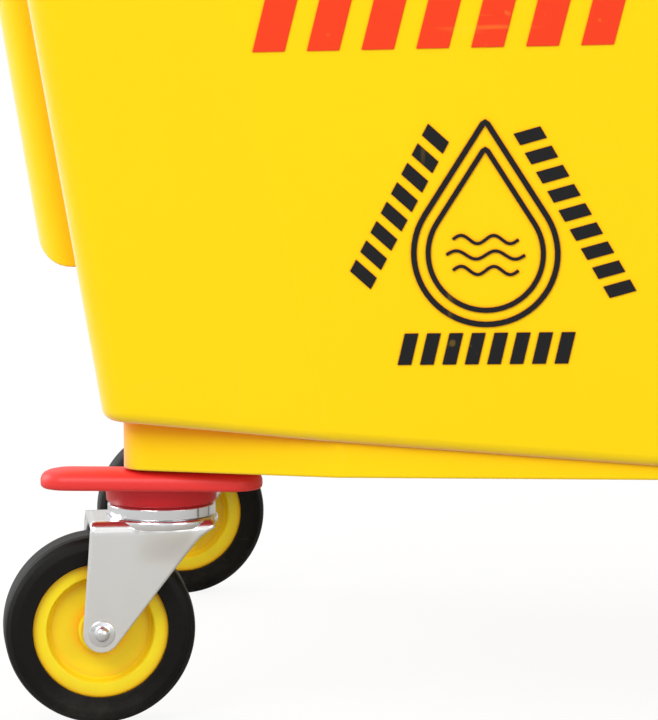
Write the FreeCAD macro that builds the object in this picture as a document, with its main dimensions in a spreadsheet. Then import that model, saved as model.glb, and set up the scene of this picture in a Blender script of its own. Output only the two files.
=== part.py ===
"""Mop bucket on four swivel casters, with a gear-driven side-press wringer and a telescopic string mop.

Units are millimetres. +X runs along the bucket towards the wringer, +Y across it and +Z up.
The origin is on the floor under the middle of the bucket.
"""

import FreeCAD, Part
import math
import os

import Sketcher

Vector, Rotation, Placement = FreeCAD.Vector, FreeCAD.Rotation, FreeCAD.Placement
UP, ACROSS, ALONG = Vector(0, 0, 1), Vector(0, 1, 0), Vector(1, 0, 0)

doc = FreeCAD.newDocument("mop_bucket")
sheet = doc.addObject("Spreadsheet::Sheet", "dims")

# Driving dimensions. Each size that can be set by itself is written here once.
DIMENSIONS = {
    # casters
    "casterX": 213.5, "casterY": 145.0, "restSwivel": 11.0, "trail": 25.5,
    "wheelRadius": 38.0, "tyreWidth": 24.0, "hubRadius": 27.0, "shoulder": 5.0,
    "bossRadius": 9.0, "hubWidth": 20.0, "hubStepRadius": 20.5, "wheelGap": 4.0,
    "axleRadius": 4.0, "runningGap": 0.05, "forkWall": 2.5, "yokeGap": 4.0,
    "racewayRadius": 20.0, "racewayHeight": 2.2, "capRadius": 21.5, "capWall": 2.0,
    "washerWall": 1.4, "washerGap": 0.1, "stemRadius": 5.0, "stemDepth": 24.0,
    "neckHeight": 7.8,
    # bumpers
    "bumperLength": 88.0, "bumperWidth": 24.0, "bumperHeight": 7.6, "bumperOut": 1.8, "bumperFront": 30.0,
    "bumperRound": 5.0, "bumperSeat": 8.6, "bumperHubRise": 2.6, "bumperNeckRadius": 15.5,
    # bucket
    "bucketWall": 4.0, "floorWall": 4.5, "bucketHeight": 275.5,
    "baseEndX": 229.2, "baseCornerY": 183.0, "baseSideY": 193.0, "baseCreaseX": 140.0,
    "topEndX": 273.2, "topCornerY": 202.0, "topSideY": 213.0, "topCreaseX": 196.0,
    "plinthEndX": 226.0, "plinthCornerY": 173.0, "plinthSideY": 190.0, "plinthRise": 30.0,
    "keelRise": 4.2, "stepSlope": 0.070, "cornerRound": 12.0,
    "spoutRise": 70.0, "spoutBaseX": 271.0, "spoutTopX": 304.5, "spoutHalfWidth": 82.0,
    "rimLip": 8.0, "rimSkirt": 16.0, "rimWall": 3.5, "socketRadius": 14.0,
    # wringer frame
    "wringerFrontX": 90.0, "wringerRearX": 240.0, "wringerHalfWidth": 132.0, "wringerWall": 4.0,
    "wringerDrop": 130.0, "housingRearX": 304.0, "hangerWall": 4.0, "hangerReach": 216.0,
    "frontRise": 40.0, "slotWidth": 7.0, "slotPitch": 16.0,
    # press and its drive
    "shaftX": 236.0, "rackRise": 7.75, "gearRoom": 12.0, "shaftRadius": 8.0, "toothModule": 3.0, "pinionTeeth": 20,
    "gearWidth": 12.0, "gearY": 106.0, "rackBack": 8.5, "pressTravel": 49.75, "backlash": 0.45,
    "plateX": 196.0, "plateWall": 4.0, "plateGap": 4.0, "pressSlot": 10.0, "pressPitch": 24.0,
    "bushWall": 3.0, "coverWall": 2.0,
    # lever
    "leverLean": 12.0, "leverLength": 330.0, "leverRadius": 11.0, "leverTubeWall": 1.5,
    "leverGripLength": 115.0, "leverGripRadius": 15.0, "leverHubRadius": 20.0, "leverHubWidth": 36.0,
    # mop
    "mopX": 120.0, "yarnThick": 50.0, "yarnWidth": 150.0, "yarnDrop": 138.0, "yarnNeck": 45.0,
    "yarnGap": 1.0, "handleRadius": 12.5, "handleWall": 1.1, "lowerTubeLength": 420.0,
    "upperTubeLength": 615.0, "tubeClearance": 0.4, "tubeEngage": 35.0, "mopSocketHeight": 75.0,
    "gripLength": 130.0, "gripWall": 3.2, "collarLength": 45.0, "collarWall": 4.0,
    "capHeight": 36.0, "hangHoleRadius": 5.0,
}
for row, (alias, value) in enumerate(DIMENSIONS.items(), start=1):
    sheet.set(f"A{row}", alias)
    sheet.set(f"B{row}", str(value))
    sheet.setAlias(f"B{row}", alias)

# Heights and places that follow from them.
DERIVED = {
    "wheelTop": "2 * wheelRadius",
    "yokeTop": "wheelTop + yokeGap + forkWall",
    "raceTop": "yokeTop + racewayHeight",
    "capBase": "raceTop + washerWall + washerGap",
    "capTop": "capBase + capWall",
    "bumperBase": "capTop + neckHeight",
    "bucketBase": "bumperBase + bumperSeat",
    "bucketFloor": "bucketBase + floorWall",
    "bucketTop": "bucketBase + bucketHeight",
    "forkInner": "tyreWidth / 2 + wheelGap",
    "forkOuter": "forkInner + forkWall",
    "pitchRadius": "toothModule * pinionTeeth / 2",
    "wringerBase": "bucketTop - wringerDrop",
    "sideIn": "wringerHalfWidth - wringerWall",
    "rackBase": "bucketTop + rackRise",
    "ledgeTop": "rackBase - 0.3",
    "rackLine": "rackBase + rackBack + toothModule * 1.25",
    "shaftZ": "rackLine + pitchRadius",
    "wringerTop": "shaftZ + pitchRadius + toothModule + gearRoom",
    "yarnBase": "wringerBase + wringerWall + yarnGap",
    "yarnShoulder": "yarnBase + yarnDrop",
    "yarnTop": "yarnShoulder + yarnNeck",
    "mopSocketTop": "yarnTop + mopSocketHeight",
    "leverY": "-(wringerHalfWidth + 4 + leverHubWidth / 2)",
    "lowerTubeBase": "yarnTop + mopSocketHeight - 40",
    "lowerTubeTop": "lowerTubeBase + lowerTubeLength",
    "upperRadius": "handleRadius - handleWall - tubeClearance",
    "upperTubeBase": "lowerTubeBase + tubeEngage",
    "upperTubeTop": "upperTubeBase + upperTubeLength",
}
first = len(DIMENSIONS) + 1
for row, (alias, formula) in enumerate(DERIVED.items(), start=first):
    sheet.set(f"A{row}", alias)
    sheet.set(f"B{row}", "=" + formula)
    sheet.setAlias(f"B{row}", alias)
doc.recompute()


def size(formula):
    """The value of a formula in the sheet's aliases, such as size('wheelRadius - 2')."""
    return float(sheet.evalExpression(in_sheet(formula)))


def in_sheet(formula):
    """The same formula with each alias written as dims.alias, as an expression needs it."""
    out, word = [], ""
    for letter in str(formula) + " ":
        if letter.isalnum() or letter == "_":
            word += letter
            continue
        out.append("dims." + word if word in DIMENSIONS or word in DERIVED else word)
        out.append(letter)
        word = ""
    return "".join(out).strip()


def bind(item, **formulas):
    """Ties properties of a feature to the sheet."""
    for name, formula in formulas.items():
        item.setExpression(name.replace("_", "."), in_sheet(formula))
    return item


# ---------------------------------------------------------------- building helpers

PARTS = []


def keep(item, label):
    """Marks an object as one sub-part, with the label that names its file."""
    item.Label = label
    PARTS.append(item)
    return item


def new_body(name):
    return doc.addObject("PartDesign::Body", name)


def origin_plane(body, role):
    return next(f for f in body.Origin.OriginFeatures if f.Role == role)


def outline(body, name, points, plane="XY_Plane", lift="0"):
    """A closed polygon on one of the body's origin planes. Each corner is a pair of formulas."""
    sketch = body.newObject("Sketcher::SketchObject", name)
    sketch.AttachmentSupport = [(origin_plane(body, plane), "")]
    sketch.MapMode = "FlatFace"
    bind(sketch, AttachmentOffset_Base_z=lift)
    corners = [Vector(size(x), size(y), 0) for x, y in points]
    count = len(corners)
    for i in range(count):
        sketch.addGeometry(Part.LineSegment(corners[i], corners[(i + 1) % count]), False)
    for i in range(count):
        sketch.addConstraint(Sketcher.Constraint("Coincident", i, 2, (i + 1) % count, 1))
    for i, (x, y) in enumerate(points):
        for kind, formula, value in (("DistanceX", x, corners[i].x), ("DistanceY", y, corners[i].y)):
            index = sketch.addConstraint(Sketcher.Constraint(kind, -1, 1, i, 1, value))
            sketch.setExpression(f"Constraints[{index}]", in_sheet(formula))
    return sketch


def ring(body, name, radius, x="0", y="0", plane="XY_Plane", lift="0"):
    """A circle on one of the body's origin planes."""
    sketch = body.newObject("Sketcher::SketchObject", name)
    sketch.AttachmentSupport = [(origin_plane(body, plane), "")]
    sketch.MapMode = "FlatFace"
    bind(sketch, AttachmentOffset_Base_z=lift)
    centre = Vector(size(x), size(y), 0)
    sketch.addGeometry(Part.Circle(centre, Vector(0, 0, 1), size(radius)), False)
    for kind, formula, value in (("DistanceX", x, centre.x), ("DistanceY", y, centre.y)):
        index = sketch.addConstraint(Sketcher.Constraint(kind, -1, 1, 0, 3, value))
        sketch.setExpression(f"Constraints[{index}]", in_sheet(formula))
    index = sketch.addConstraint(Sketcher.Constraint("Radius", 0, size(radius)))
    sketch.setExpression(f"Constraints[{index}]", in_sheet(radius))
    return sketch


def pad(body, sketch, length, both_ways=False, down=False):
    feature = body.newObject("PartDesign::Pad", "Pad")
    feature.Profile = sketch
    bind(feature, Length=length)
    feature.Midplane = both_ways
    feature.Reversed = down
    sketch.Visibility = False
    doc.recompute()
    return feature


def pocket(body, sketch, length, both_ways=False, up=True):
    """Cuts along the sketch's normal when up is true, and against it when it is false."""
    before = body.Shape.Volume
    feature = body.newObject("PartDesign::Pocket", "Pocket")
    feature.Profile = sketch
    bind(feature, Length=length)
    feature.Midplane = both_ways
    feature.Reversed = up
    doc.recompute()
    if body.Shape.Volume >= before - 1e-6:
        raise RuntimeError(f"{body.Name}: a pocket cut nothing")
    return feature


def turn(body, sketch, cut=False, axis="V_Axis"):
    """A Revolution, or a Groove if cut is true, about one of the sketch's axes."""
    feature = body.newObject("PartDesign::Groove" if cut else "PartDesign::Revolution", "Turn")
    feature.Profile = sketch
    feature.ReferenceAxis = (sketch, [axis])
    feature.Angle = 360
    doc.recompute()
    return feature


def loft(body, lower, upper, cut=False):
    feature = body.newObject("PartDesign::SubtractiveLoft" if cut else "PartDesign::AdditiveLoft", "Loft")
    feature.Profile = lower
    feature.Sections = [upper]
    feature.Ruled = True
    doc.recompute()
    return feature


def round_edges(body, radius, wanted):
    """A Fillet on every edge for which wanted(edge) is true."""
    tip = body.Tip
    names = [f"Edge{i}" for i, e in enumerate(tip.Shape.Edges, start=1) if wanted(e)]
    if not names:
        raise RuntimeError(f"{body.Name}: no edge to round")
    feature = body.newObject("PartDesign::Fillet", "Round")
    feature.Base = (tip, names)
    bind(feature, Radius=radius)
    doc.recompute()
    if "Invalid" in feature.State:
        raise RuntimeError(f"{body.Name}: the edges {names} could not be rounded")
    return feature


def row_of(body, feature, count, spacing, axis="X_Axis"):
    """A LinearPattern of one feature: count copies, spacing apart, along an origin axis."""
    pattern = body.newObject("PartDesign::LinearPattern", "Row")
    pattern.Originals = [feature]
    pattern.Direction = (origin_plane(body, axis), [""])
    pattern.Occurrences = count
    bind(pattern, Length=f"({spacing}) * {count - 1}")
    body.Tip = pattern
    doc.recompute()
    return pattern


def turned(label, profile, plane="XZ_Plane"):
    """A body turned from a polygon of (radius, height) formulas, about the sketch's upright axis."""
    body = new_body(label)
    turn(body, outline(body, "Profile", profile, plane))
    return body


def cut_away(base, *tools):
    """base less each tool, as a chain of Part::Cut objects."""
    for tool in tools:
        result = doc.addObject("Part::Cut", "Cut")
        result.Base, result.Tool = base, tool
        base = result
    doc.recompute()
    return base


def joined(name, *shapes):
    fused = doc.addObject("Part::MultiFuse", name)
    fused.Shapes = list(shapes)
    fused.Refine = True
    doc.recompute()
    return fused


def grouped(name, pieces):
    """Several separate solids that count as one sub-part, such as a set of screws."""
    group = doc.addObject("Part::Compound", name)
    group.Links = pieces
    doc.recompute()
    return group


def cylinder(radius, height, x="0", y="0", z="0", turn_by=None):
    """An upright Part::Cylinder, or one laid over by turn_by = (axis, degrees)."""
    item = doc.addObject("Part::Cylinder", "Cylinder")
    if turn_by:
        item.Placement = Placement(Vector(), Rotation(*turn_by))
    return bind(item, Radius=radius, Height=height, Placement_Base_x=x, Placement_Base_y=y, Placement_Base_z=z)


def block(x, y, z, length, width, height):
    item = doc.addObject("Part::Box", "Block")
    return bind(item, Length=length, Width=width, Height=height,
                Placement_Base_x=x, Placement_Base_y=y, Placement_Base_z=z)


def place(item, x="0", y="0", z="0", spin=None):
    """Puts a finished piece at a formula's place, turned about +Z by the formula spin."""
    item.Placement = Placement(Vector(size(x), size(y), size(z)), Rotation(UP, size(spin) if spin else 0))
    bind(item, Placement_Base_x=x, Placement_Base_y=y, Placement_Base_z=z)
    if spin:
        item.setExpression("Placement.Rotation.Angle", in_sheet(spin))
    return item


def along(edge, direction, within=0.25):
    """True if a straight edge runs along direction, give or take a slope of within."""
    if len(edge.Vertexes) != 2:
        return False
    run = edge.Vertexes[1].Point - edge.Vertexes[0].Point
    return run.Length > 1e-6 and run.cross(direction).Length / run.Length < within


# ---------------------------------------------------------------- bucket

def eight_sided(end_x, corner_y, side_y, crease_x):
    """The bucket's plan outline: two creases in each long side and four corners."""
    quarter = [(crease_x, side_y), (end_x, corner_y)]
    right = [(x, f"-({y})") for x, y in quarter] + [(x, y) for x, y in reversed(quarter)]
    left = [(f"-({x})", y) for x, y in quarter] + [(f"-({x})", f"-({y})") for x, y in reversed(quarter)]
    return right + left


def shrunk(outline_sizes, by):
    """The same four outline sizes, brought in by a formula."""
    end_x, corner_y, side_y, crease_x = outline_sizes
    return f"{end_x} - ({by})", f"{corner_y} - ({by})", f"{side_y} - ({by})", crease_x


def between(low, high, share):
    """Outline sizes a share of the way up from low to high."""
    return tuple(f"{a} + ({b} - {a}) * ({share})" for a, b in zip(low, high))


BASE = ("baseEndX", "baseCornerY", "baseSideY", "baseCreaseX")
TOP = ("topEndX", "topCornerY", "topSideY", "topCreaseX")
PLINTH = ("plinthEndX", "plinthCornerY", "plinthSideY", "baseCreaseX")


def is_corner(edge, end_x):
    """True for the upright edges at the bucket's four corners and on its spouts."""
    return along(edge, UP, 0.45) and abs(edge.CenterOfMass.x) > size(end_x)


def add_spouts(body, inset, rise):
    """A pouring channel that bulges from each end wall, brought in by inset and begun at rise."""
    for side, sign in (("Left", "-"), ("Right", "")):
        for name, reach, lift in (("Low", "spoutBaseX", rise), ("Top", "spoutTopX", "bucketHeight")):
            inner, outer = f"{sign}(baseEndX - 20)", f"{sign}({reach} - {inset})"
            half = f"spoutHalfWidth - {inset}"
            corners = [(inner, f"-({half})"), (outer, f"-({half})"), (outer, half), (inner, half)]
            sketch = outline(body, side + "Spout" + name, corners, lift=f"bucketBase + {lift}")
            if name == "Low":
                lower = sketch
        loft(body, lower, sketch)


def make_outside():
    """The bucket's outer surface, as a solid."""
    body = new_body("Outside")
    loft(body, outline(body, "BaseOutline", eight_sided(*BASE), lift="bucketBase"),
         outline(body, "TopOutline", eight_sided(*TOP), lift="bucketTop"))
    # the underside rises from a keel in the middle towards each end
    reach = "topEndX + 20"
    step_end = f"bucketBase + keelRise + stepSlope * ({reach})"
    under = [(f"-({reach})", "bucketBase - 10"), (reach, "bucketBase - 10"), (reach, step_end),
             ("0", "bucketBase + keelRise"), (f"-({reach})", step_end)]
    pocket(body, outline(body, "Underside", under, "XZ_Plane"), "3 * topSideY", both_ways=True)
    round_edges(body, "cornerRound", lambda e: is_corner(e, "baseEndX"))
    rim_of_step = "bucketBase + keelRise + stepSlope * topEndX + 6"
    round_edges(body, "cornerRound * 0.4", lambda e: e.CenterOfMass.z < size(rim_of_step))
    pad(body, outline(body, "PlinthOutline", eight_sided(*PLINTH), lift="bucketBase"), "plinthRise")
    round_edges(body, "cornerRound", lambda e: along(e, UP, 0.02) and abs(e.CenterOfMass.x) > size(
        "plinthEndX - 1") and e.CenterOfMass.z < size("bucketBase + plinthRise"))
    add_spouts(body, "0", "spoutRise")
    round_edges(body, "cornerRound * 1.3", lambda e: abs(e.CenterOfMass.x) > size("spoutBaseX - 1") and (
        along(e, UP, 0.45) or along(e, ACROSS) and e.CenterOfMass.z < size("bucketBase + spoutRise + 2")))
    return body


def make_inside():
    """The room inside the bucket: a shallow well in the plinth, then the main body and its spouts."""
    body = new_body("Inside")
    well_top = "keelRise + stepSlope * baseEndX + floorWall"
    start = between(BASE, TOP, f"({well_top}) / bucketHeight")
    loft(body, outline(body, "WellTop", eight_sided(*shrunk(start, "bucketWall")), lift="bucketBase + " + well_top),
         outline(body, "RoomTop", eight_sided(*shrunk(TOP, "bucketWall")), lift="bucketTop"))
    well = eight_sided(*shrunk(PLINTH, "bucketWall"))
    pad(body, outline(body, "Well", well, lift="bucketFloor"), well_top + " - floorWall + 1")
    add_spouts(body, "bucketWall", "spoutRise + bucketWall")
    round_edges(body, "cornerRound - bucketWall", lambda e: is_corner(e, "plinthEndX - bucketWall - 1"))
    pad(body, outline(body, "Above", eight_sided(*shrunk(TOP, "bucketWall")), lift="bucketTop"), "5")
    return body


def rim_outline(by):
    """The rim's plan outline, which steps out around each spout."""
    lip = shrunk(("topEndX + rimLip", "topCornerY + rimLip", "topSideY + rimLip", "topCreaseX"), by)
    half, out = f"spoutHalfWidth + rimLip - ({by})", f"spoutTopX + rimLip - ({by})"
    right = [(lip[0], f"-({half})"), (out, f"-({half})"), (out, half), (lip[0], half)]
    left = [(f"-({x})", y) for x, y in reversed(right)]
    plain = eight_sided(*lip)
    return plain[:2] + right + plain[2:6] + left + plain[6:]


def make_rim():
    """A flat lip round the top, with a skirt turned down from its edge."""
    whole, hollow = new_body("RimSolid"), new_body("RimHollow")
    pad(whole, outline(whole, "RimOutline", rim_outline("0"), lift="bucketTop - rimSkirt"), "rimSkirt")
    round_edges(whole, "cornerRound", lambda e: along(e, UP, 0.02) and abs(e.CenterOfMass.x) > size("topEndX + rimLip / 2"))
    pad(hollow, outline(hollow, "HollowOutline", rim_outline("rimWall"), lift="bucketTop - rimSkirt - 1"),
        "rimSkirt + 1 - rimWall")
    round_edges(hollow, "cornerRound - rimWall",
                lambda e: along(e, UP, 0.02) and abs(e.CenterOfMass.x) > size("topEndX + rimLip / 2 - rimWall"))
    return cut_away(whole, hollow)


def make_bucket():
    corners = [(sx, sy) for sx in ("", "-") for sy in ("", "-")]
    bosses = [cylinder("socketRadius", "stemDepth + 5", f"{sx}casterX", f"{sy}casterY", "bucketBase")
              for sx, sy in corners]
    shell = cut_away(joined("Shell", make_outside(), make_rim()), make_inside())
    whole = joined("ShellAndBosses", shell, *bosses)
    bores = [cylinder("stemRadius", "stemDepth + 11", f"{sx}casterX", f"{sy}casterY", "bucketBase - 10")
             for sx, sy in corners]
    return keep(cut_away(whole, *bores), "bucket_tub")


# ---------------------------------------------------------------- casters

def make_caster(label, sx, sy):
    """The seven pieces of one swivel caster, set at rest with its wheel trailing."""
    x, y = f"{sx}casterX", f"{sy}casterY"
    wheel_at = dict(x=f"{x} - trail * cos(restSwivel)", y=f"{y} - trail * sin(restSwivel)", z="wheelRadius",
                    spin="restSwivel")

    # the bumper is a rounded bar along the outer side, on a round hub that the stem passes through
    bumper = new_body(label + "Bumper")
    half = "(bumperLength - bumperWidth) / 2"
    middle, low, high = f"({sx}1) * bumperOut", "bumperFront - bumperWidth", "bumperFront"
    for shift in ("-", "+"):
        pad(bumper, ring(bumper, "End", "bumperWidth / 2", x=f"{middle} {shift} {half}",
                         y=f"({sy}1) * (bumperFront - bumperWidth / 2)"), "bumperHeight")
    bar = [(f"{middle} - {half}", low), (f"{middle} + {half}", low), (f"{middle} + {half}", high), (f"{middle} - {half}", high)]
    pad(bumper, outline(bumper, "Bar", [(bx, f"({sy}1) * ({by})") for bx, by in bar]), "bumperHeight")
    round_edges(bumper, "bumperRound", lambda e: e.CenterOfMass.z > size("bumperHeight") - 0.1)
    pad(bumper, ring(bumper, "Hub", "capRadius + 0.8", lift="-neckHeight"), "neckHeight + bumperHubRise")
    pad(bumper, ring(bumper, "Neck", "bumperNeckRadius"), "bumperSeat")
    pocket(bumper, ring(bumper, "Bore", "stemRadius", lift="bumperSeat"), "60", up=False)
    place(bumper, x, y, "bumperBase")
    keep(bumper, label + "_bumper")

    under, head = "yokeTop - forkWall", "stemRadius + 3"
    stem = turned(label + "Stem", [
        ("0", f"{under} - 3"), (head, f"{under} - 3"), (head, f"{under} - 0.2"), ("stemRadius", f"{under} - 0.2"),
        ("stemRadius", "capBase"), ("capRadius - 1.2", "capBase"), ("capRadius - 1.2", "raceTop - 1.4"),
        ("capRadius", "raceTop - 1.4"), ("capRadius", "capTop - 1"), ("capRadius - 1.5", "capTop"),
        ("stemRadius", "capTop"), ("stemRadius", "bucketBase + stemDepth"), ("0", "bucketBase + stemDepth")])
    keep(place(stem, x, y), label + "_caster_stem")

    washer = turned(label + "Washer", [("stemRadius + 0.4", "0"), ("racewayRadius - 2", "0"),
                                       ("racewayRadius - 2", "washerWall"), ("stemRadius + 0.4", "washerWall")])
    keep(place(washer, x, y, "raceTop"), label + "_thrust_washer")

    fork = new_body(label + "Fork")
    leg = [("-trail - 3.9", "yokeTop"), ("-trail - 7.4", "wheelRadius"), ("-trail + 5.9", "wheelRadius - 4.5"),
           ("-trail + 34.4", "yokeTop - 12.5"), ("-trail + 39.5", "yokeTop - 6.5"), ("-trail + 45.4", "yokeTop - 2.5"),
           ("-trail + 45.4", "yokeTop")]
    pad(fork, outline(fork, "Leg", leg, "XZ_Plane"), "2 * forkOuter", both_ways=True)
    pad(fork, ring(fork, "Eye", "7.4", x="-trail", y="wheelRadius", plane="XZ_Plane"), "2 * forkOuter", both_ways=True)
    round_edges(fork, "forkWall * 1.2", lambda e: along(e, ALONG, 0.02) and e.CenterOfMass.z > size("yokeTop") - 0.1)
    gap = [("-trail - 30", "0"), ("-trail + 80", "0"), ("-trail + 80", under), ("-trail - 30", under)]
    pocket(fork, outline(fork, "WheelRoom", gap, "XZ_Plane"), "2 * forkInner", both_ways=True)
    pad(fork, ring(fork, "Raceway", "racewayRadius", lift=f"{under}"), "forkWall + racewayHeight")
    pocket(fork, ring(fork, "PinHole", "stemRadius + runningGap", lift="raceTop"), "30", up=False)
    pocket(fork, ring(fork, "AxleHole", "axleRadius", x="-trail", y="wheelRadius", plane="XZ_Plane"),
           "4 * forkOuter", both_ways=True)
    keep(place(fork, x, y, spin="restSwivel"), label + "_fork")

    hub_half, boss_half, web = "hubWidth / 2", "hubWidth / 2 + 2", "hubWidth * 0.3"
    half_hub = [("axleRadius + runningGap", boss_half), ("bossRadius - 1", boss_half), ("bossRadius", f"{boss_half} - 1"),
                ("bossRadius", web), ("hubStepRadius - 1", web), ("hubStepRadius", f"{web} + 1"),
                ("hubStepRadius + 1", hub_half), ("hubRadius", hub_half)]
    hub = turned(label + "Hub", half_hub + [(r, f"-({h})") for r, h in reversed(half_hub)], "XY_Plane")
    keep(place(hub, **wheel_at), label + "_hub")

    half_tyre = [("hubRadius", "tyreWidth / 2"), ("wheelRadius - shoulder", "tyreWidth / 2"),
                 ("wheelRadius - shoulder * 0.45", "tyreWidth / 2 - shoulder * 0.2"),
                 ("wheelRadius - shoulder * 0.12", "tyreWidth / 2 - shoulder * 0.6"),
                 ("wheelRadius", "tyreWidth / 2 - shoulder * 1.1")]
    tyre = turned(label + "Tyre", half_tyre + [(r, f"-({h})") for r, h in reversed(half_tyre)], "XY_Plane")
    keep(place(tyre, **wheel_at), label + "_tyre")

    end = "forkOuter + 2.2"
    half_axle = [("0", end), ("5.6", end), ("6.4", "forkOuter + 1.2"), ("6.4", "forkOuter"), ("axleRadius", "forkOuter")]
    axle = turned(label + "Axle", half_axle + [(r, f"-({h})") for r, h in reversed(half_axle)], "XY_Plane")
    keep(place(axle, **wheel_at), label + "_axle")


# ---------------------------------------------------------------- wringer

def plate_xz(name, corners, y, thickness):
    """A flat plate of a given XZ outline. It is centred on y and is thickness wide across."""
    body = new_body(name)
    pad(body, outline(body, "Outline", corners, "XZ_Plane", lift=f"-({y})"), thickness, both_ways=True)
    return body


def make_wringer_frame():
    """Side walls, hangers that rest on the rim, rear walls and the ledges the racks slide on."""
    back, ledge = "wringerRearX", "ledgeTop - wringerWall"
    side = [("wringerFrontX", "wringerBase"), (back, "wringerBase"), (back, ledge), ("housingRearX", ledge),
            ("housingRearX", "shaftZ + 10"), ("shaftX + 34", "wringerTop"), ("shaftX - 44", "wringerTop"),
            ("wringerFrontX + 40", "bucketTop + frontRise"), ("wringerFrontX", "bucketTop + frontRise")]
    span = "2 * sideIn"
    pieces = [plate_xz("Side", side, f"{s}(wringerHalfWidth - wringerWall / 2)", "wringerWall") for s in ("-", "")]
    pieces.append(block(f"{back} - wringerWall", "-sideIn", "wringerBase", "wringerWall", span,
                        f"{ledge} - wringerBase"))
    pieces.append(block("housingRearX - wringerWall", "-sideIn", ledge, "wringerWall", span,
                        f"shaftZ + 10 - ({ledge})"))
    pieces.append(block(f"{back} - wringerWall", "-sideIn", ledge, f"housingRearX - {back} + wringerWall", span,
                        "wringerWall"))
    reach = "hangerReach - sideIn"
    for start in ("-hangerReach", "sideIn"):
        pieces.append(block("wringerFrontX + 12", start, "bucketTop", "170", reach, "hangerWall"))
        pieces.append(block("plateX + 6", "-sideIn" if start[0] == "-" else "gearY - gearWidth / 2 - 4", ledge,
                            f"{back} - plateX", "sideIn - gearY + gearWidth / 2 + 4", "wringerWall"))
    for y in ("-(topSideY - bucketWall - 9)", "topSideY - bucketWall - 13"):
        pieces.append(block("wringerFrontX + 20", y, "bucketTop - 14", "90", "4", "15"))
    frame = joined("WringerFrame", *pieces)
    bore = cylinder("shaftRadius + bushWall", "4 * wringerHalfWidth", "shaftX", "-2 * wringerHalfWidth", "shaftZ",
                    (ALONG, -90))
    return keep(cut_away(frame, bore), "wringer_frame")


def slotted(label, outline_corners, plane, lift, slots, slot_axis, count, pitch):
    """A plate with a row of equal slots: slots is the first one's outline."""
    body = new_body(label)
    pad(body, outline(body, "Outline", outline_corners, plane, lift), "wringerWall")
    cut = pocket(body, outline(body, "Slot", slots, plane, lift), "wringerWall")
    row_of(body, cut, count, pitch, slot_axis)
    return body


def rectangle(x0, y0, x1, y1):
    return [(x0, y0), (x1, y0), (x1, y1), (x0, y1)]


def make_grilles():
    """The slotted front wall and floor of the wringer basket."""
    count = 15
    first = f"-slotPitch * {(count - 1) / 2} - slotWidth / 2"
    low, high = "wringerBase + wringerWall", "bucketTop + frontRise"
    body = slotted("FrontGrille", rectangle("-sideIn", "wringerBase", "sideIn", high), "YZ_Plane", "wringerFrontX",
                   rectangle(first, f"{low} + 12", f"{first} + slotWidth", f"{high} - 14"), "Y_Axis", count,
                   "slotPitch")
    keep(body, "front_grille")
    front = "wringerFrontX + wringerWall"
    body = slotted("FloorGrille", rectangle(front, "-sideIn", "wringerRearX - wringerWall", "sideIn"), "XY_Plane",
                   "wringerBase", rectangle(f"{front} + 12", first, "wringerRearX - wringerWall - 12",
                                            f"{first} + slotWidth"), "Y_Axis", count, "slotPitch")
    keep(body, "floor_grille")


def make_press():
    """The press plate, its two racks and the screws that hold them together."""
    half = "sideIn - plateGap"
    low, high = "wringerBase + wringerWall + 4", "bucketTop + frontRise"
    count = 9
    first = f"-pressPitch * {(count - 1) / 2} - pressSlot / 2"
    plate = slotted("PressPlate", rectangle(f"-({half})", low, half, high), "YZ_Plane", "plateX",
                    rectangle(first, f"{low} + 14", f"{first} + pressSlot", "rackBase - 14"), "Y_Axis", count,
                    "pressPitch")
    screw_z = "rackBase + rackBack / 2"
    for side in ("-", ""):
        pocket(plate, ring(plate, "ScrewHole", "1.6", x=f"{side}gearY", y=screw_z, plane="YZ_Plane", lift="plateX"),
               "plateWall")
    keep(plate, "press_plate")

    back = "plateX + plateWall"
    depth = "toothModule * 1.25"
    pitch = "pi * toothModule"
    slope = math.tan(math.radians(20))
    flank = "(pi * toothModule / 2 - backlash / 2) / 2"
    low_tooth = -int((size("shaftX") - size(back) - 6) / size(pitch))
    high_tooth = int((size("pressTravel") + 1.2 * size(pitch)) / size(pitch))
    line = [(back, "rackBase"), (f"shaftX + ({high_tooth} + 0.5) * {pitch} + 2", "rackBase")]
    line.append((line[-1][0], f"rackLine - {depth}"))
    for number in range(high_tooth, low_tooth - 1, -1):
        # a gap of the pinion is straight down at rest, so a rack tooth is centred under it
        middle = f"shaftX + {number} * {pitch}"
        wide = f"{flank} + {slope:.5f} * {depth}"
        thin = f"{flank} - {slope:.5f} * toothModule"
        line += [(f"{middle} + {wide}", f"rackLine - {depth}"), (f"{middle} + {thin}", "rackLine + toothModule"),
                 (f"{middle} - ({thin})", "rackLine + toothModule"), (f"{middle} - ({wide})", f"rackLine - {depth}")]
    line.append((back, f"rackLine - {depth}"))
    screws = []
    for name, side in (("near", "-"), ("far", "")):
        rack = plate_xz(name + "Rack", line, f"{side}gearY", "gearWidth")
        pocket(rack, ring(rack, "ScrewHole", "1.6", x=f"{side}gearY", y=screw_z, plane="YZ_Plane", lift=back), "12")
        keep(rack, name + "_rack")
        screw = new_body(name + "Screw")
        profile = [("0", "-2"), ("2.4", "-2"), ("3", "-1.4"), ("3", "0"), ("1.6", "0"), ("1.6", "12"), ("0", "12")]
        turn(screw, outline(screw, "Profile", profile, "XZ_Plane"))
        screw.Placement = Placement(Vector(), Rotation(ACROSS, 90))
        screws.append(bind(screw, Placement_Base_x="plateX", Placement_Base_y=f"{side}gearY",
                           Placement_Base_z=screw_z))
    keep(grouped("RackScrews", screws), "rack_screws")


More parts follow.
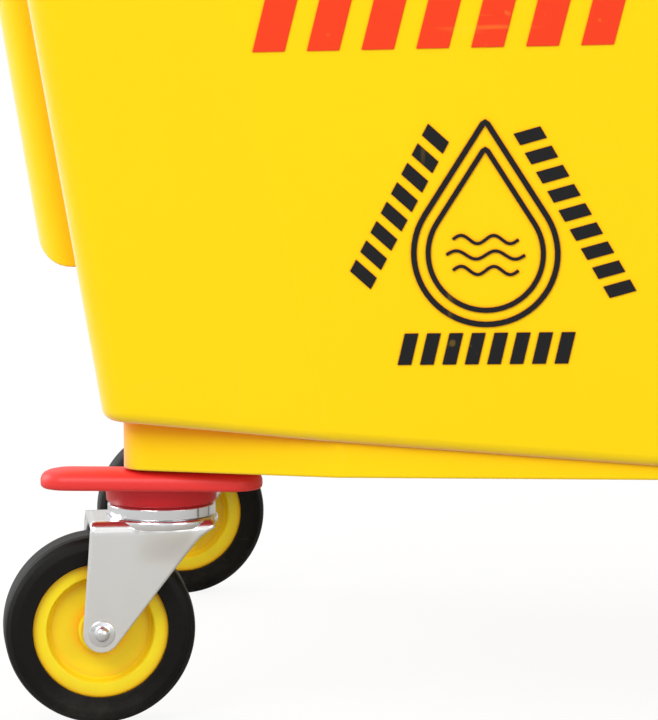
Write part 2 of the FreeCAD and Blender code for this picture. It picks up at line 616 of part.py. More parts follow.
def make_pinion(label, y):
    """A spur gear whose flanks follow the involute in short straight steps."""
    body = new_body(label)
    pad(body, ring(body, "Root", "pitchRadius - toothModule * 1.25", plane="XZ_Plane"), "gearWidth", both_ways=True)
    teeth = DIMENSIONS["pinionTeeth"]
    pressure = math.radians(20)

    def involute(angle):
        return math.tan(angle) - angle

    half_tooth = "(pi * toothModule / 2 - backlash / 2) / 2 / pitchRadius * 180 / pi"
    base_ratio = math.cos(pressure)
    steps = [1 - 3.2 / teeth, base_ratio, (base_ratio + 1) / 2, 1, 1 + 1 / teeth, 1 + 2 / teeth]
    right = []
    for ratio in steps:
        angle = math.acos(min(1, base_ratio / ratio)) if ratio > base_ratio else 0
        bend = math.degrees(involute(pressure) - involute(angle))
        turned_by = f"({half_tooth} + ({bend:.5f}))"
        right.append((f"pitchRadius * {ratio:.5f} * sin({turned_by})", f"pitchRadius * {ratio:.5f} * cos({turned_by})"))
    tooth = pad(body, outline(body, "Tooth", right + [(f"-{x}", z) for x, z in reversed(right)], "XZ_Plane"),
                "gearWidth", both_ways=True)
    pattern = body.newObject("PartDesign::PolarPattern", "Teeth")
    pattern.Originals = [tooth]
    pattern.Axis = (origin_plane(body, "Y_Axis"), [""])
    pattern.Angle = 360
    bind(pattern, Occurrences="pinionTeeth")
    body.Tip = pattern
    doc.recompute()
    pocket(body, ring(body, "Bore", "shaftRadius", plane="XZ_Plane"), "4 * gearWidth", both_ways=True)
    place(body, "shaftX", y, "shaftZ")
    # turned so that a gap between teeth is straight down, over a rack tooth
    body.Placement = Placement(body.Placement.Base, Rotation(ACROSS, 180 / teeth if teeth % 2 == 0 else 0))
    return keep(body, label)


def make_drive():
    """Shaft, bushes, clip and pinions."""
    near, far = "leverY - leverHubWidth / 2", "wringerHalfWidth + 11"
    shaft = new_body("LeverShaft")
    pad(shaft, ring(shaft, "Round", "shaftRadius", plane="XZ_Plane", lift=f"-({far})"), f"{far} - ({near})")
    keep(place(shaft, "shaftX", "0", "shaftZ"), "lever_shaft")
    for name, sign in (("near", "-"), ("far", "")):
        make_pinion(name + "_pinion", f"{sign}gearY")
        flange, wall = "shaftRadius + bushWall + 4", "shaftRadius + bushWall"
        inner, outer = f"{sign}(sideIn)", f"{sign}(wringerHalfWidth)"
        tip = f"{sign}(wringerHalfWidth + 2)"
        bush = turned(name + "Bush", [("shaftRadius + runningGap", inner), (wall, inner), (wall, outer),
                                      (flange, outer), (flange, tip), ("shaftRadius + runningGap", tip)], "XY_Plane")
        keep(place(bush, "shaftX", "0", "shaftZ"), name + "_bush")
    start, end = "wringerHalfWidth + 4", "wringerHalfWidth + 8"
    clip = turned("Clip", [("shaftRadius", start), ("shaftRadius + 5", start), ("shaftRadius + 5", end),
                           ("shaftRadius", end)], "XY_Plane")
    keep(place(clip, "shaftX", "0", "shaftZ"), "shaft_clip")


def lean(item):
    """Places a piece made along +Z from the shaft's axis so that it leans with the lever."""
    item.Placement = Placement(Vector(size("shaftX"), size("leverY"), size("shaftZ")), Rotation(ACROSS, -size("leverLean")))
    return bind(item, Placement_Base_x="shaftX", Placement_Base_y="leverY", Placement_Base_z="shaftZ")


def make_lever():
    """The lever's hub and socket, its tube, its grip and the two bolts that hold them."""
    base, socket_top = "leverHubRadius + 6", "leverHubRadius + 60"
    socket = new_body("LeverSocket")
    pad(socket, ring(socket, "Hub", "leverHubRadius", plane="XZ_Plane"), "leverHubWidth", both_ways=True)
    pad(socket, ring(socket, "Tube", "leverRadius + 4"), socket_top)
    pocket(socket, ring(socket, "TubeBore", "leverRadius", lift=base), "200")
    pocket(socket, ring(socket, "ShaftBore", "shaftRadius", plane="XZ_Plane"), "4 * leverHubWidth", both_ways=True)
    tube = turned("LeverTube", [("leverRadius - leverTubeWall", base), ("leverRadius", base),
                                ("leverRadius", f"{base} + leverLength"),
                                ("leverRadius - leverTubeWall", f"{base} + leverLength")])
    heights = (f"{base} + 12", f"{base} + 40")
    for item in (socket, tube):
        for z in heights:
            pocket(item, ring(item, "BoltHole", "3", y=z, plane="XZ_Plane"), "200", both_ways=True)
    keep(lean(socket), "lever_socket")
    keep(lean(tube), "lever_tube")
    bolts = []
    for z in heights:
        reach = "leverRadius + 4"
        half_bolt = [("0", f"{reach} + 3"), ("4.5", f"{reach} + 3"), ("5.2", f"{reach} + 2.2"), ("5.2", reach), ("3", reach)]
        bolt = turned("Bolt", half_bolt + [(r, f"-({h})") for r, h in reversed(half_bolt)], "XY_Plane")
        bolts.append(place(bolt, z=z))
    keep(lean(grouped("SocketBolts", bolts)), "socket_bolts")
    top = f"{base} + leverLength"
    grip = turned("LeverGrip", [
        ("leverRadius", f"{top} - leverGripLength"), ("leverGripRadius", f"{top} - leverGripLength"),
        ("leverGripRadius", f"{top} - leverGripLength + 4"), ("leverGripRadius - 1.5", f"{top} - leverGripLength + 9"),
        ("leverGripRadius - 1.5", f"{top} - 14"), ("leverGripRadius", f"{top} - 6"), ("leverGripRadius", f"{top} + 1"),
        ("leverGripRadius - 3", f"{top} + 6"), ("0", f"{top} + 8"), ("0", top), ("leverRadius", top)])
    keep(lean(grip), "lever_grip")


def make_cover():
    """A bent cover over the gears, with its four screws."""
    line = [("shaftX - 44", "wringerTop"), ("shaftX + 34", "wringerTop"), ("housingRearX", "shaftZ + 10"),
            ("housingRearX", "shaftZ + 10 + coverWall * 2"), ("shaftX + 34 + coverWall * 0.4", "wringerTop + coverWall"),
            ("shaftX - 44", "wringerTop + coverWall")]
    cover = plate_xz("GearCover", line, "0", "2 * wringerHalfWidth")
    places = [(x, f"{s}(wringerHalfWidth - wringerWall / 2)") for x in ("shaftX - 30", "shaftX + 22") for s in ("-", "")]
    screws = []
    for x, y in places:
        pocket(cover, ring(cover, "ScrewHole", "1.4", x=x, y=y, lift="wringerTop"), "coverWall * 2")
        screw = turned("CoverScrew", [("0", "0"), ("1.4", "0"), ("1.4", "coverWall"), ("4", "coverWall"),
                                      ("4", "coverWall + 1"), ("3", "coverWall + 2.2"), ("0", "coverWall + 2.2")])
        screws.append(place(screw, x, y, "wringerTop"))
    keep(grouped("CoverScrews", screws), "cover_screws")
    keep(cover, "gear_cover")


# ---------------------------------------------------------------- mop

def make_mop():
    """A string mop stored head down in the basket, on a handle that telescopes."""
    half_x, half_y = "yarnThick / 2", "yarnWidth / 2"
    yarn = new_body("Yarn")
    lower = outline(yarn, "Low", rectangle(f"-{half_x}", f"-{half_y}", half_x, half_y))
    pad(yarn, lower, "yarnDrop")
    round_edges(yarn, "10", lambda e: along(e, UP, 0.02))
    neck = [rectangle(f"-({half_x} - {e})", f"-({w})", f"{half_x} - {e}", w)
            for e, w in (("4", f"{half_y} - 6"), ("1", "30"))]
    loft(yarn, outline(yarn, "NeckLow", neck[0], lift="yarnDrop"),
         outline(yarn, "NeckTop", neck[1], lift="yarnDrop + yarnNeck"))
    keep(place(yarn, "mopX", "0", "yarnBase"), "mop_yarn")

    bore = "mopSocketHeight - 40"
    socket = turned("MopSocket", [
        ("0", "0"), ("28", "0"), ("30", "3"), ("30", "12"), ("19", f"{bore}"), ("17", "mopSocketHeight - 4"),
        ("15.5", "mopSocketHeight"), ("handleRadius", "mopSocketHeight"), ("handleRadius", bore), ("0", bore)])
    pin_z = "mopSocketHeight - 18"
    pocket(socket, ring(socket, "PinHole", "2", y=pin_z, plane="XZ_Plane"), "200", both_ways=True)
    keep(place(socket, "mopX", "0", "yarnTop"), "mop_socket")
    half_pin = [("0", "20"), ("3.4", "20"), ("4", "19"), ("4", "18.6"), ("2", "18.2")]
    pin = turned("SocketPin", half_pin + [(r, f"-({h})") for r, h in reversed(half_pin)], "XY_Plane")
    keep(place(pin, "mopX", "0", f"yarnTop + {pin_z}"), "socket_pin")

    tube = turned("LowerTube", [("handleRadius - handleWall", "0"), ("handleRadius", "0"),
                                ("handleRadius", "lowerTubeLength"), ("handleRadius - handleWall", "lowerTubeLength")])
    pocket(tube, ring(tube, "PinHole", "2", y=f"{pin_z} - ({bore})", plane="XZ_Plane"), "200", both_ways=True)
    keep(place(tube, "mopX", "0", "lowerTubeBase"), "lower_handle_tube")
    tube = turned("UpperTube", [("upperRadius - handleWall", "0"), ("upperRadius", "0"),
                                ("upperRadius", "upperTubeLength"), ("upperRadius - handleWall", "upperTubeLength")])
    keep(place(tube, "mopX", "0", "upperTubeBase"), "upper_handle_tube")

    inner, outer, neck = "handleRadius + runningGap", "handleRadius + collarWall", "upperRadius + runningGap"
    collar = turned("LockCollar", [
        (inner, "0"), (f"{outer} - 1", "0"), (outer, "2"), (outer, "collarLength * 0.7"),
        (f"{neck} + 2.5", "collarLength"), (neck, "collarLength"), (neck, "collarLength * 0.6"),
        (inner, "collarLength * 0.6")])
    keep(place(collar, "mopX", "0", "lowerTubeTop - collarLength * 0.6 + 0.3"), "lock_collar")

    radius = "upperRadius + gripWall"
    grip = turned("HandleGrip", [("upperRadius", "0"), (f"{radius} - 1.5", "0"), (radius, "4"),
                                 (radius, "gripLength"), ("upperRadius", "gripLength")])
    keep(place(grip, "mopX", "0", "upperTubeTop - gripLength"), "handle_grip")
    cap = turned("EndCap", [("0", "-15"), ("upperRadius - handleWall", "-15"), ("upperRadius - handleWall", "0"),
                            (radius, "0"), (radius, "capHeight - 9"), (f"{radius} * 0.86", "capHeight - 4"),
                            (f"{radius} * 0.55", "capHeight - 1"), ("0", "capHeight")])
    pocket(cap, ring(cap, "HangHole", "hangHoleRadius", y="capHeight / 2", plane="XZ_Plane"), "200", both_ways=True)
    keep(place(cap, "mopX", "0", "upperTubeTop"), "end_cap")


# ---------------------------------------------------------------- build and export

make_bucket()
for label, sx, sy in (("near_left", "-", "-"), ("near_right", "", "-"), ("far_left", "-", ""), ("far_right", "", "")):
    make_caster(label, sx, sy)
make_wringer_frame()
make_grilles()
make_press()
make_drive()
make_lever()
make_cover()
make_mop()

doc.recompute()
for item in doc.Objects:
    if "Invalid" in item.State or "Error" in item.State:
        raise RuntimeError(f"{item.Label}: {item.State}")
os.makedirs("parts", exist_ok=True)
for item in PARTS:
    shape = item.Shape
    if shape.isNull() or not shape.isValid() or not shape.Solids:
        raise RuntimeError(f"{item.Label}: the shape is not a valid solid")
    shape.exportStep(f"parts/{item.Label}.step")
print(len(PARTS), "pieces")
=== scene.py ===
# Mop bucket with a side-press wringer and a string mop: the looks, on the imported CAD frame.
import math

import bmesh
import bpy
from mathutils import Matrix, Quaternion, Vector


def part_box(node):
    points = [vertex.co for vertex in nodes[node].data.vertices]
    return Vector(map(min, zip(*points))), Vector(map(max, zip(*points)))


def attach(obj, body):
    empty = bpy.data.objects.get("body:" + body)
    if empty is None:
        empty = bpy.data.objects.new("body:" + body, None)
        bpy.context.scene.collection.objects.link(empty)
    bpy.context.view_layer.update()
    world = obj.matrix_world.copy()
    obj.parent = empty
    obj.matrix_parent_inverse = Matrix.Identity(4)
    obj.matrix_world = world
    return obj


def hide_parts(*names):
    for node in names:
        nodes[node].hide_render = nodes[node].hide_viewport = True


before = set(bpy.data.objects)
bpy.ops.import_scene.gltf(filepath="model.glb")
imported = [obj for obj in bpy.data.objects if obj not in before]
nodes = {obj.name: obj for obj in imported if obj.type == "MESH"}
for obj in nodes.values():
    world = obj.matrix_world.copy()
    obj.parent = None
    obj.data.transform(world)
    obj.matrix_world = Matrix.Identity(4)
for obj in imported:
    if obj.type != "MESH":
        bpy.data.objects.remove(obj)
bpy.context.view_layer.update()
scene = bpy.context.scene
print("frame loaded:", len(nodes), "CAD nodes")


# small helpers for node trees and meshes

def addNode(tree, kind, inputs=None, **settings):
    node = tree.nodes.new(kind)
    for key, value in settings.items():
        setattr(node, key, value)
    for key, value in (inputs or {}).items():
        if isinstance(value, bpy.types.NodeSocket):
            tree.links.new(value, node.inputs[key])
        else:
            node.inputs[key].default_value = value
    return node


def addField(tree, kind, inputs=None, **settings):
    return addNode(tree, kind, inputs, **settings).outputs[0]


def addMath(tree, operation, *values):
    return addField(tree, "ShaderNodeMath", dict(enumerate(values)), operation=operation)


def addSockets(tree, inputs, outputs):
    for name, kind, value in inputs:
        socket = tree.interface.new_socket(name=name, in_out="INPUT", socket_type=kind)
        if value is not None:
            socket.default_value = value
    for name, kind in outputs:
        tree.interface.new_socket(name=name, in_out="OUTPUT", socket_type=kind)
    return tree.nodes.new("NodeGroupInput").outputs, tree.nodes.new("NodeGroupOutput").inputs


def useGroup(tree, group, inputs):
    return addNode(tree, "ShaderNodeGroup", inputs, node_tree=group).outputs


def objectFrom(name, mesh, body, material=None):
    piece = bpy.data.objects.new(name, mesh)
    scene.collection.objects.link(piece)
    if material:
        mesh.materials.append(material)
    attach(piece, body)
    return piece


def meshFrom(name, shape, smooth=True):
    mesh = bpy.data.meshes.new(name)
    bmesh.ops.recalc_face_normals(shape, faces=shape.faces)
    shape.to_mesh(mesh)
    shape.free()
    for face in mesh.polygons:
        face.use_smooth = smooth
    return mesh


# camera, floor and light

view = {
    "place": (0.0, -1.951, 0.3789),
    "aimAcross": -366.4,     # how far left and down of straight ahead the camera points,
    "aimDown": 586.7,        # against a distance of reach
    "reach": 4525.0,
    "roll": -0.0056,
    "lens": 230.87,
}

camera = bpy.data.objects.new("camera", bpy.data.cameras.new("camera"))
scene.collection.objects.link(camera)
camera.location = view["place"]
aim = Vector((view["aimAcross"], view["reach"], -view["aimDown"]))
camera.rotation_euler = (aim.to_track_quat("-Z", "Y") @ Quaternion((0, 0, 1), view["roll"])).to_euler()
camera.data.lens = view["lens"]
camera.data.sensor_width = 36
camera.data.clip_end = 100
scene.camera = camera

studio = {
    "floorSize": 30,
    "floorTone": 0.93,
    "floorGlow": 0.91,       # how far the paper looks evenly lit
    "floorDeep": 0.42,       # its tone as a bounce card
    "skyTone": (1.0, 1.0, 1.0),
    "skyStrength": 0.78,
    "skyDark": 0.62,         # the darkest and lightest parts of the room that gloss shows
    "skyLight": 1.3,
    # place, size, power, aim
    "softboxes": [
        ((-1.5, -3.0, 2.9), 2.2, 84, (0, 0, 0.25)),
        ((2.4, -2.6, 1.6), 1.8, 22, (0, 0, 0.2)),
        ((-2.8, 0.9, 1.3), 2.0, 44, (-0.2, 0, 0.25)),
        ((0.8, 2.8, 2.4), 2.4, 40, (0, 0, 0.3)),
    ],
}


def buildStudio():
    world = bpy.data.worlds.new("studio")
    scene.world = world
    world.use_nodes = True
    tree = world.node_tree
    tree.nodes.clear()
    direction = addNode(tree, "ShaderNodeTexCoord").outputs["Generated"]
    patches = addField(tree, "ShaderNodeTexNoise", {"Vector": direction, "Scale": 2.1, "Detail": 1.5})
    room = addField(tree, "ShaderNodeMapRange", {"Value": patches, "From Min": 0.36, "From Max": 0.6,
                                                 "To Min": studio["skyDark"], "To Max": studio["skyLight"]})
    glossy = addNode(tree, "ShaderNodeLightPath").outputs["Is Glossy Ray"]
    level = addField(tree, "ShaderNodeMix", {"Factor": glossy, "A": 1.0, "B": room}, data_type="FLOAT")
    strength = addMath(tree, "MULTIPLY", level, studio["skyStrength"])
    sky = addField(tree, "ShaderNodeBackground", {"Color": (*studio["skyTone"], 1), "Strength": strength})
    addNode(tree, "ShaderNodeOutputWorld", {"Surface": sky})

    shape = bmesh.new()
    bmesh.ops.create_grid(shape, x_segments=1, y_segments=1, size=studio["floorSize"])
    floor = bpy.data.objects.new("floor", meshFrom("floor", shape, False))
    scene.collection.objects.link(floor)
    paint = bpy.data.materials.new("floorPaper")
    paint.use_nodes = True
    tree = paint.node_tree
    shader = tree.nodes["Principled BSDF"]
    shader.inputs["Roughness"].default_value = 0.9
    seen = addNode(tree, "ShaderNodeLightPath").outputs["Is Camera Ray"]
    tone = addField(tree, "ShaderNodeMix", {"Factor": seen, "A": studio["floorDeep"], "B": studio["floorTone"]},
                    data_type="FLOAT")
    tree.links.new(tone, shader.inputs["Base Color"])
    glow = addField(tree, "ShaderNodeEmission", {"Strength": 1.0})
    share = addMath(tree, "MULTIPLY", seen, studio["floorGlow"])
    both = addField(tree, "ShaderNodeMixShader", {0: share, 1: shader.outputs[0], 2: glow})
    tree.links.new(both, tree.nodes["Material Output"].inputs["Surface"])
    floor.data.materials.append(paint)

    for number, (place, size, power, target) in enumerate(studio["softboxes"], start=1):
        lamp = bpy.data.lights.new(f"softbox{number}", "AREA")
        lamp.shape = "SQUARE"
        lamp.size = size
        lamp.energy = power
        box = bpy.data.objects.new(f"softbox{number}", lamp)
        box.location = place
        box.rotation_euler = (Vector(target) - Vector(place)).to_track_quat("-Z", "Y").to_euler()
        scene.collection.objects.link(box)
    scene.view_settings.view_transform = "Standard"


buildStudio()
print("camera, floor and light ready")


# shared surface effects

def buildGrain():
    group = bpy.data.node_groups.new("mouldGrain", "ShaderNodeTree")
    inputs, outputs = addSockets(group, [("Scale", "NodeSocketFloat", 900.0), ("Mottle", "NodeSocketFloat", 0.04)],
                                 [("Height", "NodeSocketFloat"), ("Tone", "NodeSocketFloat")])
    place = addNode(group, "ShaderNodeTexCoord").outputs["Object"]
    fine = addField(group, "ShaderNodeTexNoise", {"Vector": place, "Scale": inputs["Scale"], "Detail": 3.0})
    broad = addField(group, "ShaderNodeTexNoise", {"Vector": place, "Scale": 9.0, "Detail": 2.0})
    group.links.new(fine, outputs["Height"])
    centred = addMath(group, "SUBTRACT", broad, 0.5)
    group.links.new(addMath(group, "MULTIPLY_ADD", centred, inputs["Mottle"], 1.0), outputs["Tone"])
    return group


def buildScuffs():
    group = bpy.data.node_groups.new("scuffs", "ShaderNodeTree")
    inputs, outputs = addSockets(group, [("Density", "NodeSocketFloat", 0.5), ("Scale", "NodeSocketFloat", 1.0)],
                                 [("Mask", "NodeSocketFloat")])
    place = addNode(group, "ShaderNodeTexCoord").outputs["Object"]
    scaled = addField(group, "ShaderNodeVectorMath", {0: place, "Scale": inputs["Scale"]}, operation="SCALE")
    lines = []
    # three layers of long thin scratches, each with its own lean
    for turn, stretch in ((0.5, (14, 260, 220)), (-0.9, (240, 17, 200)), (1.3, (190, 210, 12))):
        turned = addField(group, "ShaderNodeMapping", {"Vector": scaled, "Rotation": (turn, turn * 0.6, turn),
                                                       "Scale": stretch})
        noise = addField(group, "ShaderNodeTexNoise", {"Vector": turned, "Scale": 1.0, "Detail": 1.0})
        lines.append(addField(group, "ShaderNodeMapRange", {"Value": noise, "From Min": 0.71, "From Max": 0.78}))
    anyLine = addMath(group, "MAXIMUM", addMath(group, "MAXIMUM", lines[0], lines[1]), lines[2])
    patch = addField(group, "ShaderNodeTexNoise", {"Vector": place, "Scale": 6.0, "Detail": 2.0})
    where = addField(group, "ShaderNodeMapRange", {"Value": patch, "From Min": 0.45, "From Max": 0.7})
    mask = addMath(group, "MULTIPLY", addMath(group, "MULTIPLY", anyLine, where), inputs["Density"])
    group.links.new(mask, outputs["Mask"])
    return group


def buildGrime():
    group = bpy.data.node_groups.new("lowGrime", "ShaderNodeTree")
    inputs, outputs = addSockets(group, [("Top", "NodeSocketFloat", 0.12), ("Amount", "NodeSocketFloat", 0.2)],
                                 [("Mask", "NodeSocketFloat")])
    place = addNode(group, "ShaderNodeTexCoord").outputs["Object"]
    height = addNode(group, "ShaderNodeSeparateXYZ", {0: place}).outputs["Z"]
    low = addField(group, "ShaderNodeMapRange", {"Value": height, "From Min": inputs["Top"], "From Max": 0.0})
    spots = addField(group, "ShaderNodeTexNoise", {"Vector": place, "Scale": 70.0, "Detail": 5.0, "Roughness": 0.7})
    patchy = addField(group, "ShaderNodeMapRange", {"Value": spots, "From Min": 0.4, "From Max": 0.75})
    mask = addMath(group, "MULTIPLY", addMath(group, "MULTIPLY", low, patchy), inputs["Amount"])
    group.links.new(mask, outputs["Mask"])
    return group


def buildBrushing():
    group = bpy.data.node_groups.new("drawnLines", "ShaderNodeTree")
    inputs, outputs = addSockets(group, [("Stretch", "NodeSocketVector", (900.0, 900.0, 20.0))],
                                 [("Height", "NodeSocketFloat")])
    place = addNode(group, "ShaderNodeTexCoord").outputs["Object"]
    stretched = addField(group, "ShaderNodeVectorMath", {0: place, 1: inputs["Stretch"]}, operation="MULTIPLY")
    noise = addField(group, "ShaderNodeTexNoise", {"Vector": stretched, "Scale": 1.0, "Detail": 3.0})
    group.links.new(noise, outputs["Height"])
    return group


mouldGrain, scuffMarks, lowGrime, drawnLines = buildGrain(), buildScuffs(), buildGrime(), buildBrushing()


def startMaterial(name, finish):
    material = bpy.data.materials.new(name)
    material.use_nodes = True
    tree = material.node_tree
    shader = tree.nodes["Principled BSDF"]
    for socket, key in (("Metallic", "metal"), ("Specular IOR Level", "specular"), ("Sheen Weight", "sheen"),
                        ("Sheen Roughness", "sheenRough")):
        if key in finish:
            shader.inputs[socket].default_value = finish[key]
    return material, tree, shader


def mixColour(tree, factor, first, second):
    # the Mix node's colour sockets have the same names as its number sockets, so they go by place
    mix = addNode(tree, "ShaderNodeMix", data_type="RGBA")
    for socket, value in ((mix.inputs[0], factor), (mix.inputs[6], first), (mix.inputs[7], second)):
        if isinstance(value, bpy.types.NodeSocket):
            tree.links.new(value, socket)
        else:
            socket.default_value = (*value, 1) if isinstance(value, tuple) else value
    return mix.outputs[2]


def addNormal(tree, shader, height, edge, strength, depth):
    # edges rounded by shading, with fine relief on top
    soft = addField(tree, "ShaderNodeBevel", {"Radius": edge}, samples=4)
    bump = addField(tree, "ShaderNodeBump", {"Height": height, "Strength": strength, "Distance": depth, "Normal": soft})
    tree.links.new(bump, shader.inputs["Normal"])


def addWear(tree, finish, scuffScale, grimeTop):
    marks = useGroup(tree, scuffMarks, {"Density": finish.get("scuffs", 0.3), "Scale": scuffScale})[0]
    grime = useGroup(tree, lowGrime, {"Top": finish.get("grimeTop", grimeTop), "Amount": finish.get("grime", 0.1)})[0]
    return marks, grime


def plastic(name, **finish):
    material, tree, shader = startMaterial(name, finish)
    grain = useGroup(tree, mouldGrain, {"Scale": finish.get("grainScale", 900.0), "Mottle": finish.get("mottle", 0.05)})
    marks, grime = addWear(tree, finish, 1.0, 0.16)
    toned = addField(tree, "ShaderNodeVectorMath", {0: finish["colour"], "Scale": grain["Tone"]}, operation="SCALE")
    worn = mixColour(tree, marks, toned, finish.get("scuffColour", (0.95, 0.85, 0.55)))
    colour = mixColour(tree, grime, worn, finish.get("grimeColour", (0.16, 0.13, 0.09)))
    if "deepColour" in finish:
        # painted shade: where close walls hide the room (ambient occlusion), the colour turns towards a deeper one. It
        # stands in for the shade there and for light that bounces between the walls and takes on more of the plastic's
        # own colour
        reach = finish.get("deepReach", 0.045)
        clear = addNode(tree, "ShaderNodeAmbientOcclusion", {"Distance": reach}, samples=6).outputs["AO"]
        shadeMask = addField(tree, "ShaderNodeMapRange", {"Value": clear, "From Min": 0.95, "From Max": 0.5})
        colour = mixColour(tree, shadeMask, colour, finish["deepColour"])
    tree.links.new(colour, shader.inputs["Base Color"])
    rough = addMath(tree, "MULTIPLY_ADD", marks, 0.25, finish["rough"])
    rough = addMath(tree, "ADD", rough, addMath(tree, "MULTIPLY", grime, 0.4))
    tree.links.new(rough, shader.inputs["Roughness"])
    relief = addMath(tree, "SUBTRACT", grain["Height"], addMath(tree, "MULTIPLY", marks, 0.6))
    addNormal(tree, shader, relief, finish.get("edge", 0.0011), finish.get("bump", 0.12), 0.0004)
    return material


def metal(name, **finish):
    material, tree, shader = startMaterial(name, finish)
    lines = useGroup(tree, drawnLines, {"Stretch": finish.get("stretch", (900.0, 900.0, 20.0))})[0]
    marks, grime = addWear(tree, finish, 1.6, 0.1)
    tinted = mixColour(tree, lines, finish["colour"], finish.get("lineColour", finish["colour"]))
    tree.links.new(mixColour(tree, grime, tinted, (0.2, 0.17, 0.13)), shader.inputs["Base Color"])
    rough = addMath(tree, "MULTIPLY_ADD", marks, 0.2, finish["rough"])
    rough = addMath(tree, "MULTIPLY_ADD", lines, finish.get("roughSpread", 0.06), rough)
    rough = addMath(tree, "ADD", rough, addMath(tree, "MULTIPLY", grime, 0.5))
    tree.links.new(rough, shader.inputs["Roughness"])
    relief = addMath(tree, "SUBTRACT", lines, marks)
    addNormal(tree, shader, relief, 0.0006, finish.get("bump", 0.05), 0.0003)
    return material


# finishes of this object, in linear colour
# the deeper orange given to bucketYellow, wringerYellow and hubYellow is painted shade in their hollows and under the
# step
bucketYellow = plastic("bucketYellow", colour=(1.0, 0.685, 0.0), rough=0.34, specular=0.12, sheen=0.9,
                       sheenRough=0.4, mottle=0.03, scuffs=0.08, scuffColour=(1.0, 0.74, 0.1), bump=0.04,
                       grimeTop=0.13, grime=0.03, edge=0.0016, deepColour=(1.0, 0.26, 0.0))
wringerYellow = plastic("wringerYellow", colour=(0.98, 0.60, 0.0), rough=0.38, specular=0.2, mottle=0.03,
                        scuffs=0.25, scuffColour=(1.0, 0.76, 0.15), bump=0.08, grime=0.0, deepColour=(1.0, 0.34, 0.0))
bumperRed = plastic("bumperRed", colour=(0.78, 0.034, 0.030), rough=0.38, specular=0.35, mottle=0.06, scuffs=0.3,
                    scuffColour=(0.90, 0.2, 0.16), bump=0.1, grime=0.05, edge=0.0006)
# the boss under the bumper bar: the bumper's red made darker, painted shade for its place under the bar
shadedBumperRed = plastic("shadedBumperRed", colour=(0.66, 0.013, 0.020), rough=0.36, specular=0.35, mottle=0.06, scuffs=0.2,
                  scuffColour=(0.7, 0.1, 0.1), bump=0.1, grime=0.05, edge=0.0006)
hubYellow = plastic("hubYellow", colour=(1.0, 0.80, 0.015), rough=0.33, specular=0.3, mottle=0.05, scuffs=0.25,
                    scuffColour=(1.0, 0.8, 0.3), bump=0.06, grimeTop=0.05, grime=0.15, deepColour=(1.0, 0.46, 0.0),
                    deepReach=0.008)
tyreRubber = plastic("tyreRubber", colour=(0.005, 0.0045, 0.004), rough=0.48, specular=0.16, mottle=0.3, scuffs=0.3,
                     scuffColour=(0.06, 0.055, 0.05), bump=0.25, grimeTop=0.02, grime=0.3,
                     grimeColour=(0.11, 0.10, 0.085))
chromePlate = metal("chromePlate", colour=(0.86, 0.865, 0.88), metal=1.0, rough=0.10, scuffs=0.25, bump=0.02,
                    grime=0.12)
forkChrome = metal("forkChrome", colour=(0.95, 0.95, 0.94), metal=1.0, rough=0.16, scuffs=0.05, bump=0.03, grime=0.08,
                   stretch=(60.0, 60.0, 14.0), roughSpread=0.12)
plainSteel = metal("plainSteel", colour=(0.58, 0.58, 0.6), lineColour=(0.66, 0.66, 0.68), metal=1.0, rough=0.28,
                   scuffs=0.4, stretch=(700.0, 12.0, 700.0), bump=0.1)
whiteNylon = plastic("whiteNylon", colour=(0.80, 0.79, 0.74), rough=0.5)
gearGrey = plastic("gearGrey", colour=(0.035, 0.038, 0.042), rough=0.5, mottle=0.3,
                   scuffColour=(0.15, 0.15, 0.15), bump=0.2)
blackPlastic = plastic("blackPlastic", colour=(0.02, 0.02, 0.021), rough=0.42, mottle=0.3,
                       scuffColour=(0.12, 0.12, 0.12), bump=0.2)
gripRubber = plastic("gripRubber", colour=(0.018, 0.018, 0.02), rough=0.68, mottle=0.4, grainScale=1400.0,
                     scuffColour=(0.09, 0.09, 0.09), bump=0.5)
drawnAluminium = metal("drawnAluminium", colour=(0.80, 0.81, 0.82), lineColour=(0.70, 0.71, 0.73), metal=1.0,
                       rough=0.26, scuffs=0.5, stretch=(1500.0, 1500.0, 9.0), bump=0.12)
redPlastic = plastic("redPlastic", colour=(0.62, 0.02, 0.015), rough=0.34, mottle=0.06, scuffs=0.3,
                     scuffColour=(0.85, 0.3, 0.25), bump=0.1)

finishOf = {
    "bucket_tub": bucketYellow, "wringer_frame": wringerYellow, "front_grille": wringerYellow,
    "floor_grille": wringerYellow, "press_plate": wringerYellow, "gear_cover": wringerYellow,
    "near_rack": gearGrey, "far_rack": gearGrey, "near_pinion": gearGrey, "far_pinion": gearGrey,
    "near_bush": blackPlastic, "far_bush": blackPlastic, "lever_socket": blackPlastic,
    "lever_tube": chromePlate, "lever_grip": gripRubber, "handle_grip": gripRubber,
    "rack_screws": plainSteel, "cover_screws": plainSteel, "socket_bolts": plainSteel, "socket_pin": plainSteel,
    "lever_shaft": plainSteel, "shaft_clip": plainSteel,
    "mop_socket": redPlastic, "lock_collar": redPlastic, "end_cap": redPlastic,
    "lower_handle_tube": drawnAluminium, "upper_handle_tube": drawnAluminium,
}
casterFinish = {"bumper": bumperRed, "caster_stem": chromePlate, "thrust_washer": whiteNylon, "fork": forkChrome,
                "axle": chromePlate, "hub": hubYellow, "tyre": tyreRubber}
for caster in ("near_left", "near_right", "far_left", "far_right"):
    for piece, finish in casterFinish.items():
        finishOf[f"{caster}_{piece}"] = finish
for name, finish in finishOf.items():
    nodes[name].data.materials.clear()
    nodes[name].data.materials.append(finish)
print("finishes on", len(finishOf), "CAD nodes")


# turned and repeated details

